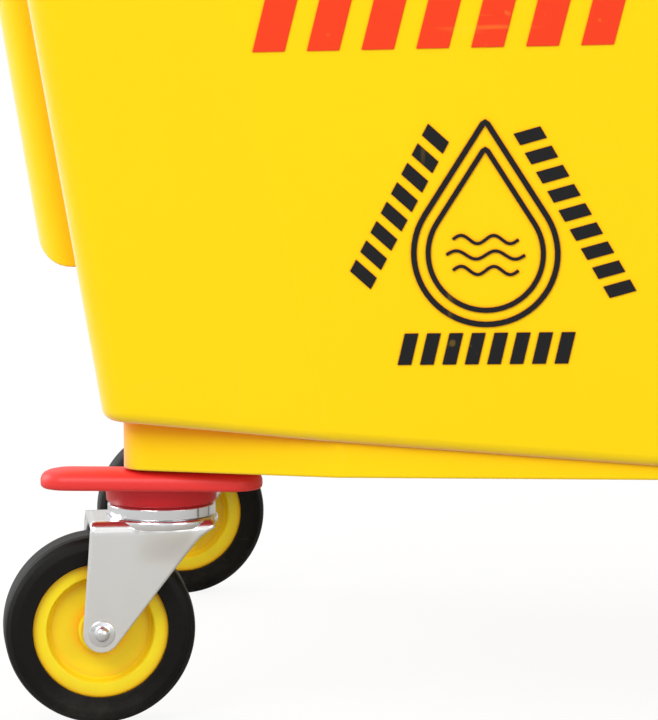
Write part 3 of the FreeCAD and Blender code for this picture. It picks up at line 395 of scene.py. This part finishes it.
def lathe(name, outline, steps):
    # a closed outline of (radius, height) points turned round Z; a point on the axis stays one corner
    shape = bmesh.new()
    turns = [math.tau * k / steps for k in range(steps)]
    rings = []
    for radius, z in outline:
        if radius:
            rings.append([shape.verts.new((radius * math.cos(a), radius * math.sin(a), z)) for a in turns])
        else:
            rings.append([shape.verts.new((0, 0, z))] * steps)
    for low, high in zip(rings, rings[1:] + rings[:1]):
        for k in range(steps):
            after = (k + 1) % steps
            corners = list(dict.fromkeys((low[k], low[after], high[after], high[k])))
            if len(corners) > 2:
                shape.faces.new(corners)
    return meshFrom(name, shape)


def startTree(name, inputs):
    tree = bpy.data.node_groups.new(name, "GeometryNodeTree")
    fields, results = addSockets(tree, inputs, [("Geometry", "NodeSocketGeometry")])
    return tree, fields, results


def finishTree(tree, geometry, material, results):
    solid = addField(tree, "GeometryNodeRealizeInstances", {"Geometry": geometry})
    coloured = addField(tree, "GeometryNodeSetMaterial", {"Geometry": solid, "Material": material})
    tree.links.new(coloured, results["Geometry"])


def growMesh(name, tree, values):
    # runs the tree once, with values set by each input's identifier, and keeps a plain mesh
    holder = bpy.data.objects.new(name + "Holder", bpy.data.meshes.new(name + "Holder"))
    scene.collection.objects.link(holder)
    modifier = holder.modifiers.new("grow", "NODES")
    modifier.node_group = tree
    for socket in tree.interface.items_tree:
        if socket.in_out == "INPUT" and socket.name in values:
            modifier[socket.identifier] = values[socket.name]
    ready = holder.evaluated_get(bpy.context.evaluated_depsgraph_get())
    mesh = bpy.data.meshes.new_from_object(ready)
    mesh.name = name
    mesh.materials.clear()
    mesh.materials.append(values["Material"])
    bpy.data.objects.remove(holder)
    return mesh


def buildBlockRow():
    tree, fields, results = startTree("blockRow", [
        ("Material", "NodeSocketMaterial", None), ("Count", "NodeSocketInt", 7), ("Pitch", "NodeSocketFloat", 0.02),
        ("Width", "NodeSocketFloat", 0.012), ("Height", "NodeSocketFloat", 0.03), ("Slant", "NodeSocketFloat", 0.2),
        ("Thickness", "NodeSocketFloat", 0.0003)])
    half = addMath(tree, "MULTIPLY", addMath(tree, "SUBTRACT", fields["Count"], 1.0), -0.5)
    start = addField(tree, "ShaderNodeCombineXYZ", {"X": addMath(tree, "MULTIPLY", half, fields["Pitch"])})
    step = addField(tree, "ShaderNodeCombineXYZ", {"X": fields["Pitch"]})
    line = addField(tree, "GeometryNodeMeshLine", {"Count": fields["Count"], "Start Location": start, "Offset": step})
    size = addField(tree, "ShaderNodeCombineXYZ", {"X": fields["Width"], "Y": fields["Thickness"],
                                                   "Z": fields["Height"]})
    block = addField(tree, "GeometryNodeMeshCube", {"Size": size})
    place = addField(tree, "GeometryNodeInputPosition")
    rise = addNode(tree, "ShaderNodeSeparateXYZ", {0: place}).outputs["Z"]
    lean = addField(tree, "ShaderNodeCombineXYZ", {"X": addMath(tree, "MULTIPLY", rise, fields["Slant"])})
    slanted = addField(tree, "GeometryNodeSetPosition", {"Geometry": block, "Offset": lean})
    rows = addField(tree, "GeometryNodeInstanceOnPoints", {"Points": line, "Instance": slanted})
    finishTree(tree, rows, fields["Material"], results)
    return tree


def buildRibStack():
    tree, fields, results = startTree("ribStack", [
        ("Material", "NodeSocketMaterial", None), ("Count", "NodeSocketInt", 12), ("Pitch", "NodeSocketFloat", 0.006),
        ("Radius", "NodeSocketFloat", 0.014), ("Rib", "NodeSocketFloat", 0.001)])
    step = addField(tree, "ShaderNodeCombineXYZ", {"Z": fields["Pitch"]})
    line = addField(tree, "GeometryNodeMeshLine", {"Count": fields["Count"], "Offset": step})
    circle = addField(tree, "GeometryNodeCurvePrimitiveCircle", {"Resolution": 48, "Radius": fields["Radius"]})
    section = addField(tree, "GeometryNodeCurvePrimitiveCircle", {"Resolution": 8, "Radius": fields["Rib"]})
    rib = addField(tree, "GeometryNodeCurveToMesh", {"Curve": circle, "Profile Curve": section})
    stack = addField(tree, "GeometryNodeInstanceOnPoints", {"Points": line, "Instance": rib})
    finishTree(tree, stack, fields["Material"], results)
    return tree


blockRow, ribStack = buildBlockRow(), buildRibStack()


# printed marks on both long sides of the bucket: plain slanted blocks round a water drop

printRed = plastic("printRed", colour=(0.93, 0.05, 0.008), rough=0.42, specular=0.25, mottle=0.03, scuffs=0.35,
                   scuffColour=(1.0, 0.6, 0.05), bump=0.03, grime=0.0, edge=0.0002)
printBlack = plastic("printBlack", colour=(0.008, 0.008, 0.009), rough=0.45, specular=0.25, mottle=0.1, scuffs=0.35,
                     scuffColour=(0.9, 0.55, 0.02), bump=0.03, grime=0.0, edge=0.0002)

prints = {
    "lowY": 0.193, "highY": 0.213, "lowZ": 0.1046, "highZ": 0.3801,    # the panel that they are printed on
    "lift": 0.00022, "thickness": 0.0003,
    # across, up, turn in degrees, then the row's sizes
    "redRow": (-0.0975, 0.2868, 1.2, {"Count": 7, "Pitch": 0.0208, "Width": 0.0122, "Height": 0.030, "Slant": 0.28}),
    "blackRows": [
        (-0.1145, 0.2110, 62, {"Count": 8, "Pitch": 0.0085, "Width": 0.0050, "Height": 0.0102, "Slant": 0.25}),
        (-0.0475, 0.2090, -60, {"Count": 9, "Pitch": 0.0085, "Width": 0.0050, "Height": 0.0102, "Slant": 0.25}),
        (-0.0815, 0.1562, 0.8, {"Count": 8, "Pitch": 0.0086, "Width": 0.0052, "Height": 0.0122, "Slant": 0.25}),
    ],
    "badge": (-0.0816, 0.2050),
    "drop": (0.0275, 0.0395, -0.0120),      # its round end's radius, its tip and its round end's middle
    "dropSoft": 0.0016,                     # how far its tip is rounded off
    "inset": 0.0055, "insetTip": 1.9,       # the inner drop: how far in, and how many times that at the tip
    "outerLine": 0.0021, "innerLine": 0.0019, "waveLine": 0.0011,
    "waveDepth": 0.0016,
    # name, length, height in the badge
    "waves": [("High", 0.025, -0.0065), ("Middle", 0.030, -0.0125), ("Low", 0.025, -0.0185)],
}


def panelPlace(across, up, turn, side):
    # the frame of a printed mark: its X runs along the panel, its Z up it and its Y into it
    low, high = prints["lowY"], prints["highY"]
    slope = (high - low) / (prints["highZ"] - prints["lowZ"])
    depth = low + slope * (up - prints["lowZ"]) + prints["lift"]
    upward = Vector((0, -slope, 1)).normalized()
    along = Vector((1, 0, 0))
    inward = upward.cross(along)
    spun = Matrix((along, inward, upward)).transposed().to_4x4() @ Matrix.Rotation(math.radians(-turn), 4, "Y")
    place = Matrix.Translation((across, -depth, up)) @ spun
    return place if side == "near" else Matrix.Rotation(math.pi, 4, "Z") @ place


def strokeShape(path, width, closed):
    # a flat ribbon of even width along a path of (x, z) points
    shape = bmesh.new()
    count = len(path)
    thickness = prints["thickness"]
    rings = []
    for i, (x, z) in enumerate(path):
        before = path[i - 1] if closed or i else path[i]
        after = path[(i + 1) % count] if closed or i < count - 1 else path[i]
        run = Vector((after[0] - before[0], after[1] - before[1])).normalized()
        side = Vector((-run.y, run.x)) * width / 2
        rings.append([shape.verts.new((x + side.x * s, y, z + side.y * s)) for s, y in
                      ((1, 0), (-1, 0), (-1, -thickness), (1, -thickness))])
    for i in range(count if closed else count - 1):
        first, second = rings[i], rings[(i + 1) % count]
        for k in range(4):
            shape.faces.new((first[k], first[(k + 1) % 4], second[(k + 1) % 4], second[k]))
    if not closed:
        shape.faces.new(rings[0])
        shape.faces.new(rings[-1])
    return shape


def dropPath(radius, tip, centre, steps=40):
    # a round bottom and two straight sides that meet at a tip
    lean = math.asin(radius / (tip - centre))
    path = [(radius * math.cos(a), centre + radius * math.sin(a))
            for a in (lean - (math.pi + 2 * lean) * k / steps for k in range(steps + 1))]
    soft = prints["dropSoft"]
    side = Vector((path[-1][0], path[-1][1] - tip)).normalized() * soft
    return path + [(side.x, tip + side.y), (0, tip - soft * 0.45), (-side.x, tip + side.y)]


def wavePath(length, depth, steps=36):
    return [(length * (k / steps - 0.5), depth * math.sin(math.tau * 2 * k / steps)) for k in range(steps + 1)]


def printRow(name, side, row, material):
    across, up, turn, sizes = row
    values = {"Material": material, "Thickness": prints["thickness"], **sizes}
    mesh = growMesh(f"{name}_{side}", blockRow, values)
    mesh.transform(panelPlace(across, up, turn, side))
    objectFrom(mesh.name, mesh, "bucket")


def printMarks(side):
    printRow("redBlocks", side, prints["redRow"], printRed)
    for number, row in enumerate(prints["blackRows"], start=1):
        printRow(f"blackBlocks{number}", side, row, printBlack)
    radius, tip, centre = prints["drop"]
    gap = prints["inset"]
    strokes = [
        ("badgeOuter", dropPath(radius, tip, centre), prints["outerLine"], True, 0),
        ("badgeInner", dropPath(radius - gap, tip - gap * prints["insetTip"], centre), prints["innerLine"], True, 0),
    ]
    for name, length, height in prints["waves"]:
        strokes.append(("badgeWave" + name, wavePath(length, prints["waveDepth"]), prints["waveLine"], False, height))
    for name, path, width, closed, raised in strokes:
        mesh = meshFrom(f"{name}_{side}", strokeShape([(x, z + raised) for x, z in path], width, closed), False)
        mesh.transform(panelPlace(*prints["badge"], 0, side))
        objectFrom(mesh.name, mesh, "bucket", printBlack)


for side in ("near", "far"):
    printMarks(side)
print("printed marks on the bucket")


# casters: bumper bars, pressed forks and rivet heads, from the same sizes as the CAD pieces

casterShape = {
    "stemX": 0.2135, "stemY": 0.145, "turn": 11.0, "trail": 0.0255, "axleZ": 0.038,
    "barLength": 0.088, "barWidth": 0.024, "barBase": 0.096, "barFront": 0.030, "barOut": 0.0018,
    # the bar's edge from its underside to its top: how far in, how high
    "barEdge": [(0.0022, 0.0), (0.0009, 0.0002), (0.0002, 0.0008), (0.0, 0.0018), (0.0, 0.0036), (0.0005, 0.0050),
                (0.0014, 0.0060), (0.0030, 0.0068), (0.0052, 0.0073), (0.0085, 0.0076)],
    "yokeTop": 0.0825, "plate": 0.0025, "outer": 0.0185, "bend": 0.0042, "eye": 0.0074,
    # the legs: how far the trailing edge leans in, then the leading edge as (down, ahead) points, with
    # legLow measured down from the axle, legHigh down from the yoke's top, and both ahead of the axle
    "legLean": 0.0035, "legLow": (0.0045, 0.0059),
    "legHigh": [(0.0125, 0.0344), (0.0065, 0.0395), (0.0025, 0.0454), (0.0, 0.0454)],
    "legRows": 44, "legGather": 1.6, "legColumns": 24,
    # where the sheet swells out round the raceway
    "dishRadius": 0.0224, "dishLow": 0.0655, "dishHigh": 0.0795, "dishInset": 0.0006,
    "ringSteps": 72, "rivetSteps": 32,
    # turned outlines of (radius, height) points
    "boss": [(0.0054, 0.0883), (0.0213, 0.0883), (0.0219, 0.0888), (0.0225, 0.0965), (0.0222, 0.0978),
             (0.0212, 0.0986), (0.0150, 0.0993), (0.0138, 0.1002), (0.0137, 0.1045), (0.0054, 0.1045)],
    "dish": [(0.0054, 0.0800), (0.0054, 0.0847), (0.0196, 0.0847), (0.0200, 0.0843), (0.0200, 0.0831),
             (0.0214, 0.0830), (0.0222, 0.0826), (0.0225, 0.0818), (0.0224, 0.0806), (0.0219, 0.0794),
             (0.0210, 0.0786), (0.0190, 0.0784)],
    "rivet": [(0.0, 0.0025), (0.0009, 0.0024), (0.0018, 0.0020), (0.0026, 0.0013), (0.0030, 0.0005),
              (0.0033, 0.0003), (0.0049, 0.0003), (0.0053, 0.0001), (0.0053, -0.0012), (0.0, -0.0012)],
}


def stadium(length, width, inset, steps=20):
    half, radius = (length - width) / 2, width / 2 - inset
    turns = [(x, math.radians(start + 180 * k / steps))
             for x, start in ((half, -90), (-half, 90)) for k in range(steps + 1)]
    return [(x + radius * math.cos(turn), radius * math.sin(turn)) for x, turn in turns]


def barMesh(name, place):
    sizes = casterShape
    shape = bmesh.new()
    rings = []
    for inset, rise in sizes["barEdge"]:
        outline = stadium(sizes["barLength"], sizes["barWidth"], inset)
        rings.append([shape.verts.new((x, y, sizes["barBase"] + rise)) for x, y in outline])
    for low, high in zip(rings, rings[1:]):
        for k in range(len(low)):
            shape.faces.new((low[k], low[(k + 1) % len(low)], high[(k + 1) % len(low)], high[k]))
    shape.faces.new(rings[0])
    shape.faces.new(rings[-1])
    mesh = meshFrom(name, shape)
    mesh.transform(place)
    return mesh


def forkSides(height):
    # the leg's left and right edges at a height
    sizes = casterShape
    eye, axleZ, trail, top = sizes["eye"], sizes["axleZ"], sizes["trail"], sizes["yokeTop"]
    low = math.sqrt(max(eye ** 2 - (height - axleZ) ** 2, 0.0)) if height < axleZ else eye
    left = -trail - low + (max(height - axleZ, 0) / (top - axleZ)) * sizes["legLean"]
    below, ahead = sizes["legLow"]
    right = [(axleZ - below, -trail + ahead)] + [(top - down, -trail + out) for down, out in sizes["legHigh"]]
    if height <= right[0][0]:
        return left, -trail + low
    for (z0, x0), (z1, x1) in zip(right, right[1:]):
        if height <= z1:
            return left, x0 + (x1 - x0) * (height - z0) / (z1 - z0)
    return left, right[-1][1]


def forkMesh(name, place):
    # one pressed sheet: flat across the top, bent down both sides, and swelled out under the raceway
    sizes = casterShape
    outer, bend, wall, top = sizes["outer"], sizes["bend"], sizes["plate"], sizes["yokeTop"]
    bottom = sizes["axleZ"] - sizes["eye"]
    half = [(outer - bend) * k / 4 for k in range(5)]
    line = [(y, top, 0.0, 1.0) for y in half]
    line += [(outer - bend + bend * math.sin(a), top - bend + bend * math.cos(a), math.sin(a), math.cos(a))
             for a in (math.pi / 2 * k / 6 for k in range(1, 7))]
    drops = sizes["legRows"]
    for k in range(1, drops + 1):
        # rows gather towards the eye, where the outline turns fastest
        share = 1 - (1 - k / drops) ** sizes["legGather"]
        line.append((outer, top - bend - (top - bend - bottom) * share, 1.0, 0.0))
    line = [(-y, z, -ny, nz) for y, z, ny, nz in reversed(line[1:])] + line
    across = sizes["legColumns"]
    shape = bmesh.new()
    skins = []
    for depth in (0.0, wall):
        grid = []
        for y, z, ny, nz in line:
            left, right = forkSides(z)
            row = []
            for k in range(across + 1):
                x = left + (right - left) * k / across
                swell = 0.0
                if abs(x) < sizes["dishRadius"] and abs(ny) > 0:
                    rise = min(max((z - sizes["dishLow"]) / (sizes["dishHigh"] - sizes["dishLow"]), 0.0), 1.0)
                    rise = rise * rise * (3 - 2 * rise)
                    swell = math.sqrt(sizes["dishRadius"] ** 2 - x * x) - sizes["dishInset"] - outer
                    swell = max(swell, 0.0) * rise
                row.append(shape.verts.new((x, y + math.copysign(swell, y) - ny * depth, z - nz * depth)))
            grid.append(row)
        skins.append(grid)
    rows = len(line)
    for grid in skins:
        for i in range(rows - 1):
            for k in range(across):
                shape.faces.new((grid[i][k], grid[i][k + 1], grid[i + 1][k + 1], grid[i + 1][k]))
    front, back = skins
    for i in range(rows - 1):
        for k in (0, across):
            shape.faces.new((front[i][k], front[i + 1][k], back[i + 1][k], back[i][k]))
    for i in (0, rows - 1):
        for k in range(across):
            shape.faces.new((front[i][k], front[i][k + 1], back[i][k + 1], back[i][k]))
    bmesh.ops.remove_doubles(shape, verts=shape.verts, dist=1e-6)
    bmesh.ops.dissolve_degenerate(shape, edges=shape.edges, dist=1e-7)
    mesh = meshFrom(name, shape)
    mesh.transform(place)
    return mesh


def addCaster(caster, sx, sy):
    sizes = casterShape
    stem = Matrix.Translation((sx * sizes["stemX"], sy * sizes["stemY"], 0))
    bar = stem @ Matrix.Translation((sx * sizes["barOut"], sy * (sizes["barFront"] - sizes["barWidth"] / 2), 0))
    mesh = barMesh(f"{caster}_bumperBar", bar)
    piece = objectFrom(mesh.name, mesh, "bucket", bumperRed)
    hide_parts(f"{caster}_bumper")
    # the boss takes the darker red, painted shade under the bar
    mesh = lathe(f"{caster}_bumperBoss", sizes["boss"], sizes["ringSteps"])
    mesh.transform(stem)
    objectFrom(mesh.name, mesh, "bucket", shadedBumperRed)

    turned = stem @ Matrix.Rotation(math.radians(sizes["turn"]), 4, "Z")
    mesh = forkMesh(f"{caster}_pressedFork", turned)
    fork = objectFrom(mesh.name, mesh, f"{caster}_swivel_body", forkChrome)
    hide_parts(f"{caster}_fork")
    mesh = lathe(f"{caster}_racewayDish", sizes["dish"], sizes["ringSteps"])
    mesh.transform(turned)
    objectFrom(mesh.name, mesh, f"{caster}_swivel_body", chromePlate)
    for side, name in ((-1, "A"), (1, "B")):
        mesh = lathe(f"{caster}_rivet{name}", sizes["rivet"], sizes["rivetSteps"])
        out = Matrix.Translation((-sizes["trail"], side * sizes["outer"], sizes["axleZ"]))
        mesh.transform(turned @ out @ Matrix.Rotation(-side * math.pi / 2, 4, "X"))
        rivet = objectFrom(mesh.name, mesh, f"{caster}_wheel_body", chromePlate)
        if name == "A":
            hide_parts(f"{caster}_axle")


for caster, sx, sy in (("near_left", -1, -1), ("near_right", 1, -1), ("far_left", -1, 1), ("far_right", 1, 1)):
    addCaster(caster, sx, sy)
print("casters")


# ribbed grips on the lever and the mop handle

grips = {
    "lever": {"Count": 15, "Pitch": 0.0062, "Radius": 0.0135, "Rib": 0.0013},
    "leverPivot": (0.236, -0.154, 0.4301), "leverLean": 12.0, "leverStart": 0.252,
    "mop": {"Count": 17, "Pitch": 0.0064, "Radius": 0.0141, "Rib": 0.0011},
    "mopStart": 0.014,
}


def addGripRibs():
    mesh = growMesh("leverGripRibs", ribStack, {"Material": gripRubber, **grips["lever"]})
    lean = Matrix.Rotation(math.radians(-grips["leverLean"]), 4, "Y")
    mesh.transform(Matrix.Translation(grips["leverPivot"]) @ lean @ Matrix.Translation((0, 0, grips["leverStart"])))
    objectFrom(mesh.name, mesh, "lever")
    low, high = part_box("handle_grip")
    mesh = growMesh("handleGripRibs", ribStack, {"Material": gripRubber, **grips["mop"]})
    mesh.transform(Matrix.Translation(((low.x + high.x) / 2, 0, low.z + grips["mopStart"])))
    objectFrom(mesh.name, mesh, "upper_handle")


addGripRibs()
print("grip ribs")


# the mop's cotton strings

def buildTwist():
    # the lay of a twisted string: three plies that run round it, and fine fibres along them
    group = bpy.data.node_groups.new("stringTwist", "ShaderNodeTree")
    inputs, outputs = addSockets(group, [("Lay", "NodeSocketFloat", 700.0), ("Plies", "NodeSocketFloat", 3.0)],
                                 [("Height", "NodeSocketFloat"), ("Groove", "NodeSocketFloat")])
    around = addNode(group, "ShaderNodeAttribute", attribute_name="ropeAround").outputs["Vector"]
    parts = addNode(group, "ShaderNodeSeparateXYZ", {0: around}).outputs
    along = addNode(group, "ShaderNodeAttribute", attribute_name="ropeAlong").outputs["Fac"]
    angle = addMath(group, "ARCTAN2", parts["Y"], parts["X"])
    phase = addMath(group, "MULTIPLY_ADD", along, inputs["Lay"], addMath(group, "MULTIPLY", angle, inputs["Plies"]))
    ply = addMath(group, "ABSOLUTE", addMath(group, "SINE", addMath(group, "MULTIPLY", phase, 0.5)))
    place = addNode(group, "ShaderNodeTexCoord").outputs["Object"]
    fuzz = addField(group, "ShaderNodeTexNoise", {"Vector": place, "Scale": 1600.0, "Detail": 2.0})
    group.links.new(addMath(group, "MULTIPLY_ADD", fuzz, 0.35, ply), outputs["Height"])
    # the valleys between plies, where the cotton is painted darker as shade
    groove = addField(group, "ShaderNodeMapRange", {"Value": ply, "From Min": 0.0, "From Max": 0.45})
    group.links.new(groove, outputs["Groove"])
    return group


stringTwist = buildTwist()


def cotton(name, colour, shade, stainColour):
    material, tree, shader = startMaterial(name, {"sheen": 0.25, "sheenRough": 0.5, "specular": 0.15})
    twist = useGroup(tree, stringTwist, {"Lay": 900.0})
    tone = addNode(tree, "ShaderNodeAttribute", attribute_name="stringTone").outputs["Fac"]
    varied = mixColour(tree, tone, colour, tuple(c * 0.86 for c in colour))
    # painted shade: the string's colour goes towards the shade colour in the valleys between plies
    deep = mixColour(tree, twist["Groove"], shade, varied)
    place = addNode(tree, "ShaderNodeTexCoord").outputs["Object"]
    patch = addField(tree, "ShaderNodeTexNoise", {"Vector": place, "Scale": 26.0, "Detail": 3.0})
    stain = addField(tree, "ShaderNodeMapRange", {"Value": patch, "From Min": 0.52, "From Max": 0.8, "To Max": 0.35})
    tree.links.new(mixColour(tree, stain, deep, stainColour), shader.inputs["Base Color"])
    shader.inputs["Roughness"].default_value = 0.92
    bump = addField(tree, "ShaderNodeBump", {"Height": twist["Height"], "Strength": 0.7, "Distance": 0.0007})
    tree.links.new(bump, shader.inputs["Normal"])
    return material


cottonString = cotton("cottonString", (0.80, 0.785, 0.73), (0.36, 0.34, 0.29), (0.50, 0.46, 0.38))

mopStrings = {
    "Across": 9, "Strings": 243, "Thick": 0.0385, "Wide": 0.1380, "Neck": 0.020, "Drop": 0.181,
    "String Radius": 0.0029, "Sway": 0.0016, "Jitter": 0.0016, "Uneven": 0.007, "Seed": 4,
}
stringShape = {
    "samples": 26, "sides": 8,
    "openEnd": 0.30, "openCurve": 0.55,    # the share of a string over which the bundle opens, and how fast
    "slimTop": 0.62, "slimEnd": 0.25,      # strings are pressed thin in the socket, down to this share
    "swayAcross": 9.0, "swayAlong": 7.0, "anyPhase": 6.28,
    "intoSocket": 0.004,
}


def buildMopHead():
    tree, fields, results = startTree("mopHead", [
        ("Material", "NodeSocketMaterial", None), ("Across", "NodeSocketInt", 9), ("Strings", "NodeSocketInt", 243),
        ("Thick", "NodeSocketFloat", 0.045), ("Wide", "NodeSocketFloat", 0.14), ("Neck", "NodeSocketFloat", 0.02),
        ("Drop", "NodeSocketFloat", 0.18), ("String Radius", "NodeSocketFloat", 0.0028),
        ("Sway", "NodeSocketFloat", 0.0015), ("Jitter", "NodeSocketFloat", 0.0015),
        ("Uneven", "NodeSocketFloat", 0.006), ("Seed", "NodeSocketInt", 4)])
    points = addField(tree, "GeometryNodePoints", {"Count": fields["Strings"]})
    line = addField(tree, "GeometryNodeCurvePrimitiveLine", {"End": (0.0, 0.0, -1.0)})
    strand = addField(tree, "GeometryNodeResampleCurve", {"Curve": line, "Count": stringShape["samples"]})
    each = addField(tree, "GeometryNodeInstanceOnPoints", {"Points": points, "Instance": strand})
    strings = addField(tree, "GeometryNodeRealizeInstances", {"Geometry": each})

    number = addField(tree, "GeometryNodeFieldOnDomain", {0: addField(tree, "GeometryNodeInputIndex")},
                      data_type="INT", domain="CURVE")
    column = addMath(tree, "MODULO", number, fields["Across"])
    row = addMath(tree, "FLOOR", addMath(tree, "DIVIDE", number, fields["Across"]))
    rows = addMath(tree, "CEIL", addMath(tree, "DIVIDE", fields["Strings"], fields["Across"]))

    def centred(place, count):
        return addMath(tree, "SUBTRACT", addMath(tree, "DIVIDE", place, addMath(tree, "SUBTRACT", count, 1.0)), 0.5)

    gridX, gridY = centred(column, fields["Across"]), centred(row, rows)

    def chance(offset, low=-1.0, high=1.0):
        seed = addMath(tree, "ADD", fields["Seed"], float(offset))
        node = addNode(tree, "FunctionNodeRandomValue", data_type="FLOAT")
        node.inputs[2].default_value, node.inputs[3].default_value = low, high
        tree.links.new(number, node.inputs["ID"])
        tree.links.new(seed, node.inputs["Seed"])
        return node.outputs[1]

    share = addNode(tree, "GeometryNodeSplineParameter").outputs["Factor"]
    opening = addField(tree, "ShaderNodeMapRange",
                       {"Value": share, "From Min": 0.0, "From Max": stringShape["openEnd"]},
                       interpolation_type="SMOOTHERSTEP")
    opening = addMath(tree, "POWER", opening, stringShape["openCurve"])
    settled = addMath(tree, "MULTIPLY", fields["Jitter"], opening)

    def spread(grid, full, offset, turns):
        # from the neck's radius out to the head's full width, with a slow sway down each string
        base = addMath(tree, "MULTIPLY", grid, 2.0)
        narrow = addMath(tree, "MULTIPLY", base, fields["Neck"])
        wide = addMath(tree, "MULTIPLY", grid, full)
        across = addMath(tree, "MULTIPLY_ADD", addMath(tree, "SUBTRACT", wide, narrow), opening, narrow)
        phase = addMath(tree, "MULTIPLY_ADD", share, turns, chance(offset, 0.0, stringShape["anyPhase"]))
        sway = addMath(tree, "MULTIPLY", addMath(tree, "SINE", phase), fields["Sway"])
        sway = addMath(tree, "MULTIPLY", sway, opening)
        return addMath(tree, "ADD", across, addMath(tree, "MULTIPLY_ADD", chance(offset + 7), settled, sway))

    x = spread(gridX, fields["Thick"], 1, stringShape["swayAcross"])
    y = spread(gridY, fields["Wide"], 2, stringShape["swayAlong"])
    shorter = addMath(tree, "MULTIPLY", chance(5, 0.0, 1.0), fields["Uneven"])
    length = addMath(tree, "SUBTRACT", fields["Drop"], shorter)
    z = addMath(tree, "MULTIPLY", addMath(tree, "MULTIPLY", share, length), -1.0)
    place = addField(tree, "ShaderNodeCombineXYZ", {"X": x, "Y": y, "Z": z})
    laid = addField(tree, "GeometryNodeSetPosition", {"Geometry": strings, "Position": place})
    slim = addField(tree, "ShaderNodeMapRange", {"Value": share, "From Min": 0.0, "From Max": stringShape["slimEnd"],
                                                 "To Min": stringShape["slimTop"], "To Max": 1.0})
    laid = addField(tree, "GeometryNodeSetCurveRadius", {"Curve": laid, "Radius": slim})

    def store(geometry, name, value, kind="FLOAT"):
        return addField(tree, "GeometryNodeStoreNamedAttribute", {"Geometry": geometry, "Name": name, "Value": value},
                        data_type=kind, domain="POINT")

    laid = store(laid, "ropeAlong", addNode(tree, "GeometryNodeSplineParameter").outputs["Length"])
    laid = store(laid, "stringTone", chance(9, 0.0, 1.0))

    section = addField(tree, "GeometryNodeCurvePrimitiveCircle", {"Resolution": stringShape["sides"],
                                                                  "Radius": fields["String Radius"]})
    angle = addMath(tree, "MULTIPLY", addNode(tree, "GeometryNodeSplineParameter").outputs["Factor"], math.tau)
    facing = addField(tree, "ShaderNodeCombineXYZ", {"X": addMath(tree, "COSINE", angle),
                                                     "Y": addMath(tree, "SINE", angle)})
    section = store(section, "ropeAround", facing, "FLOAT_VECTOR")
    body = addField(tree, "GeometryNodeCurveToMesh", {"Curve": laid, "Profile Curve": section, "Fill Caps": True})
    soft = addField(tree, "GeometryNodeSetShadeSmooth", {"Geometry": body})
    finishTree(tree, soft, fields["Material"], results)
    return tree


def addMopHead():
    low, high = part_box("mop_yarn")
    mesh = growMesh("mopStrings", buildMopHead(), {"Material": cottonString, **mopStrings})
    mesh.transform(Matrix.Translation(((low.x + high.x) / 2, 0, high.z + stringShape["intoSocket"])))
    head = objectFrom(mesh.name, mesh, "mop")
    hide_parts("mop_yarn")
    print("mop head:", len(mesh.polygons), "faces")


addMopHead()
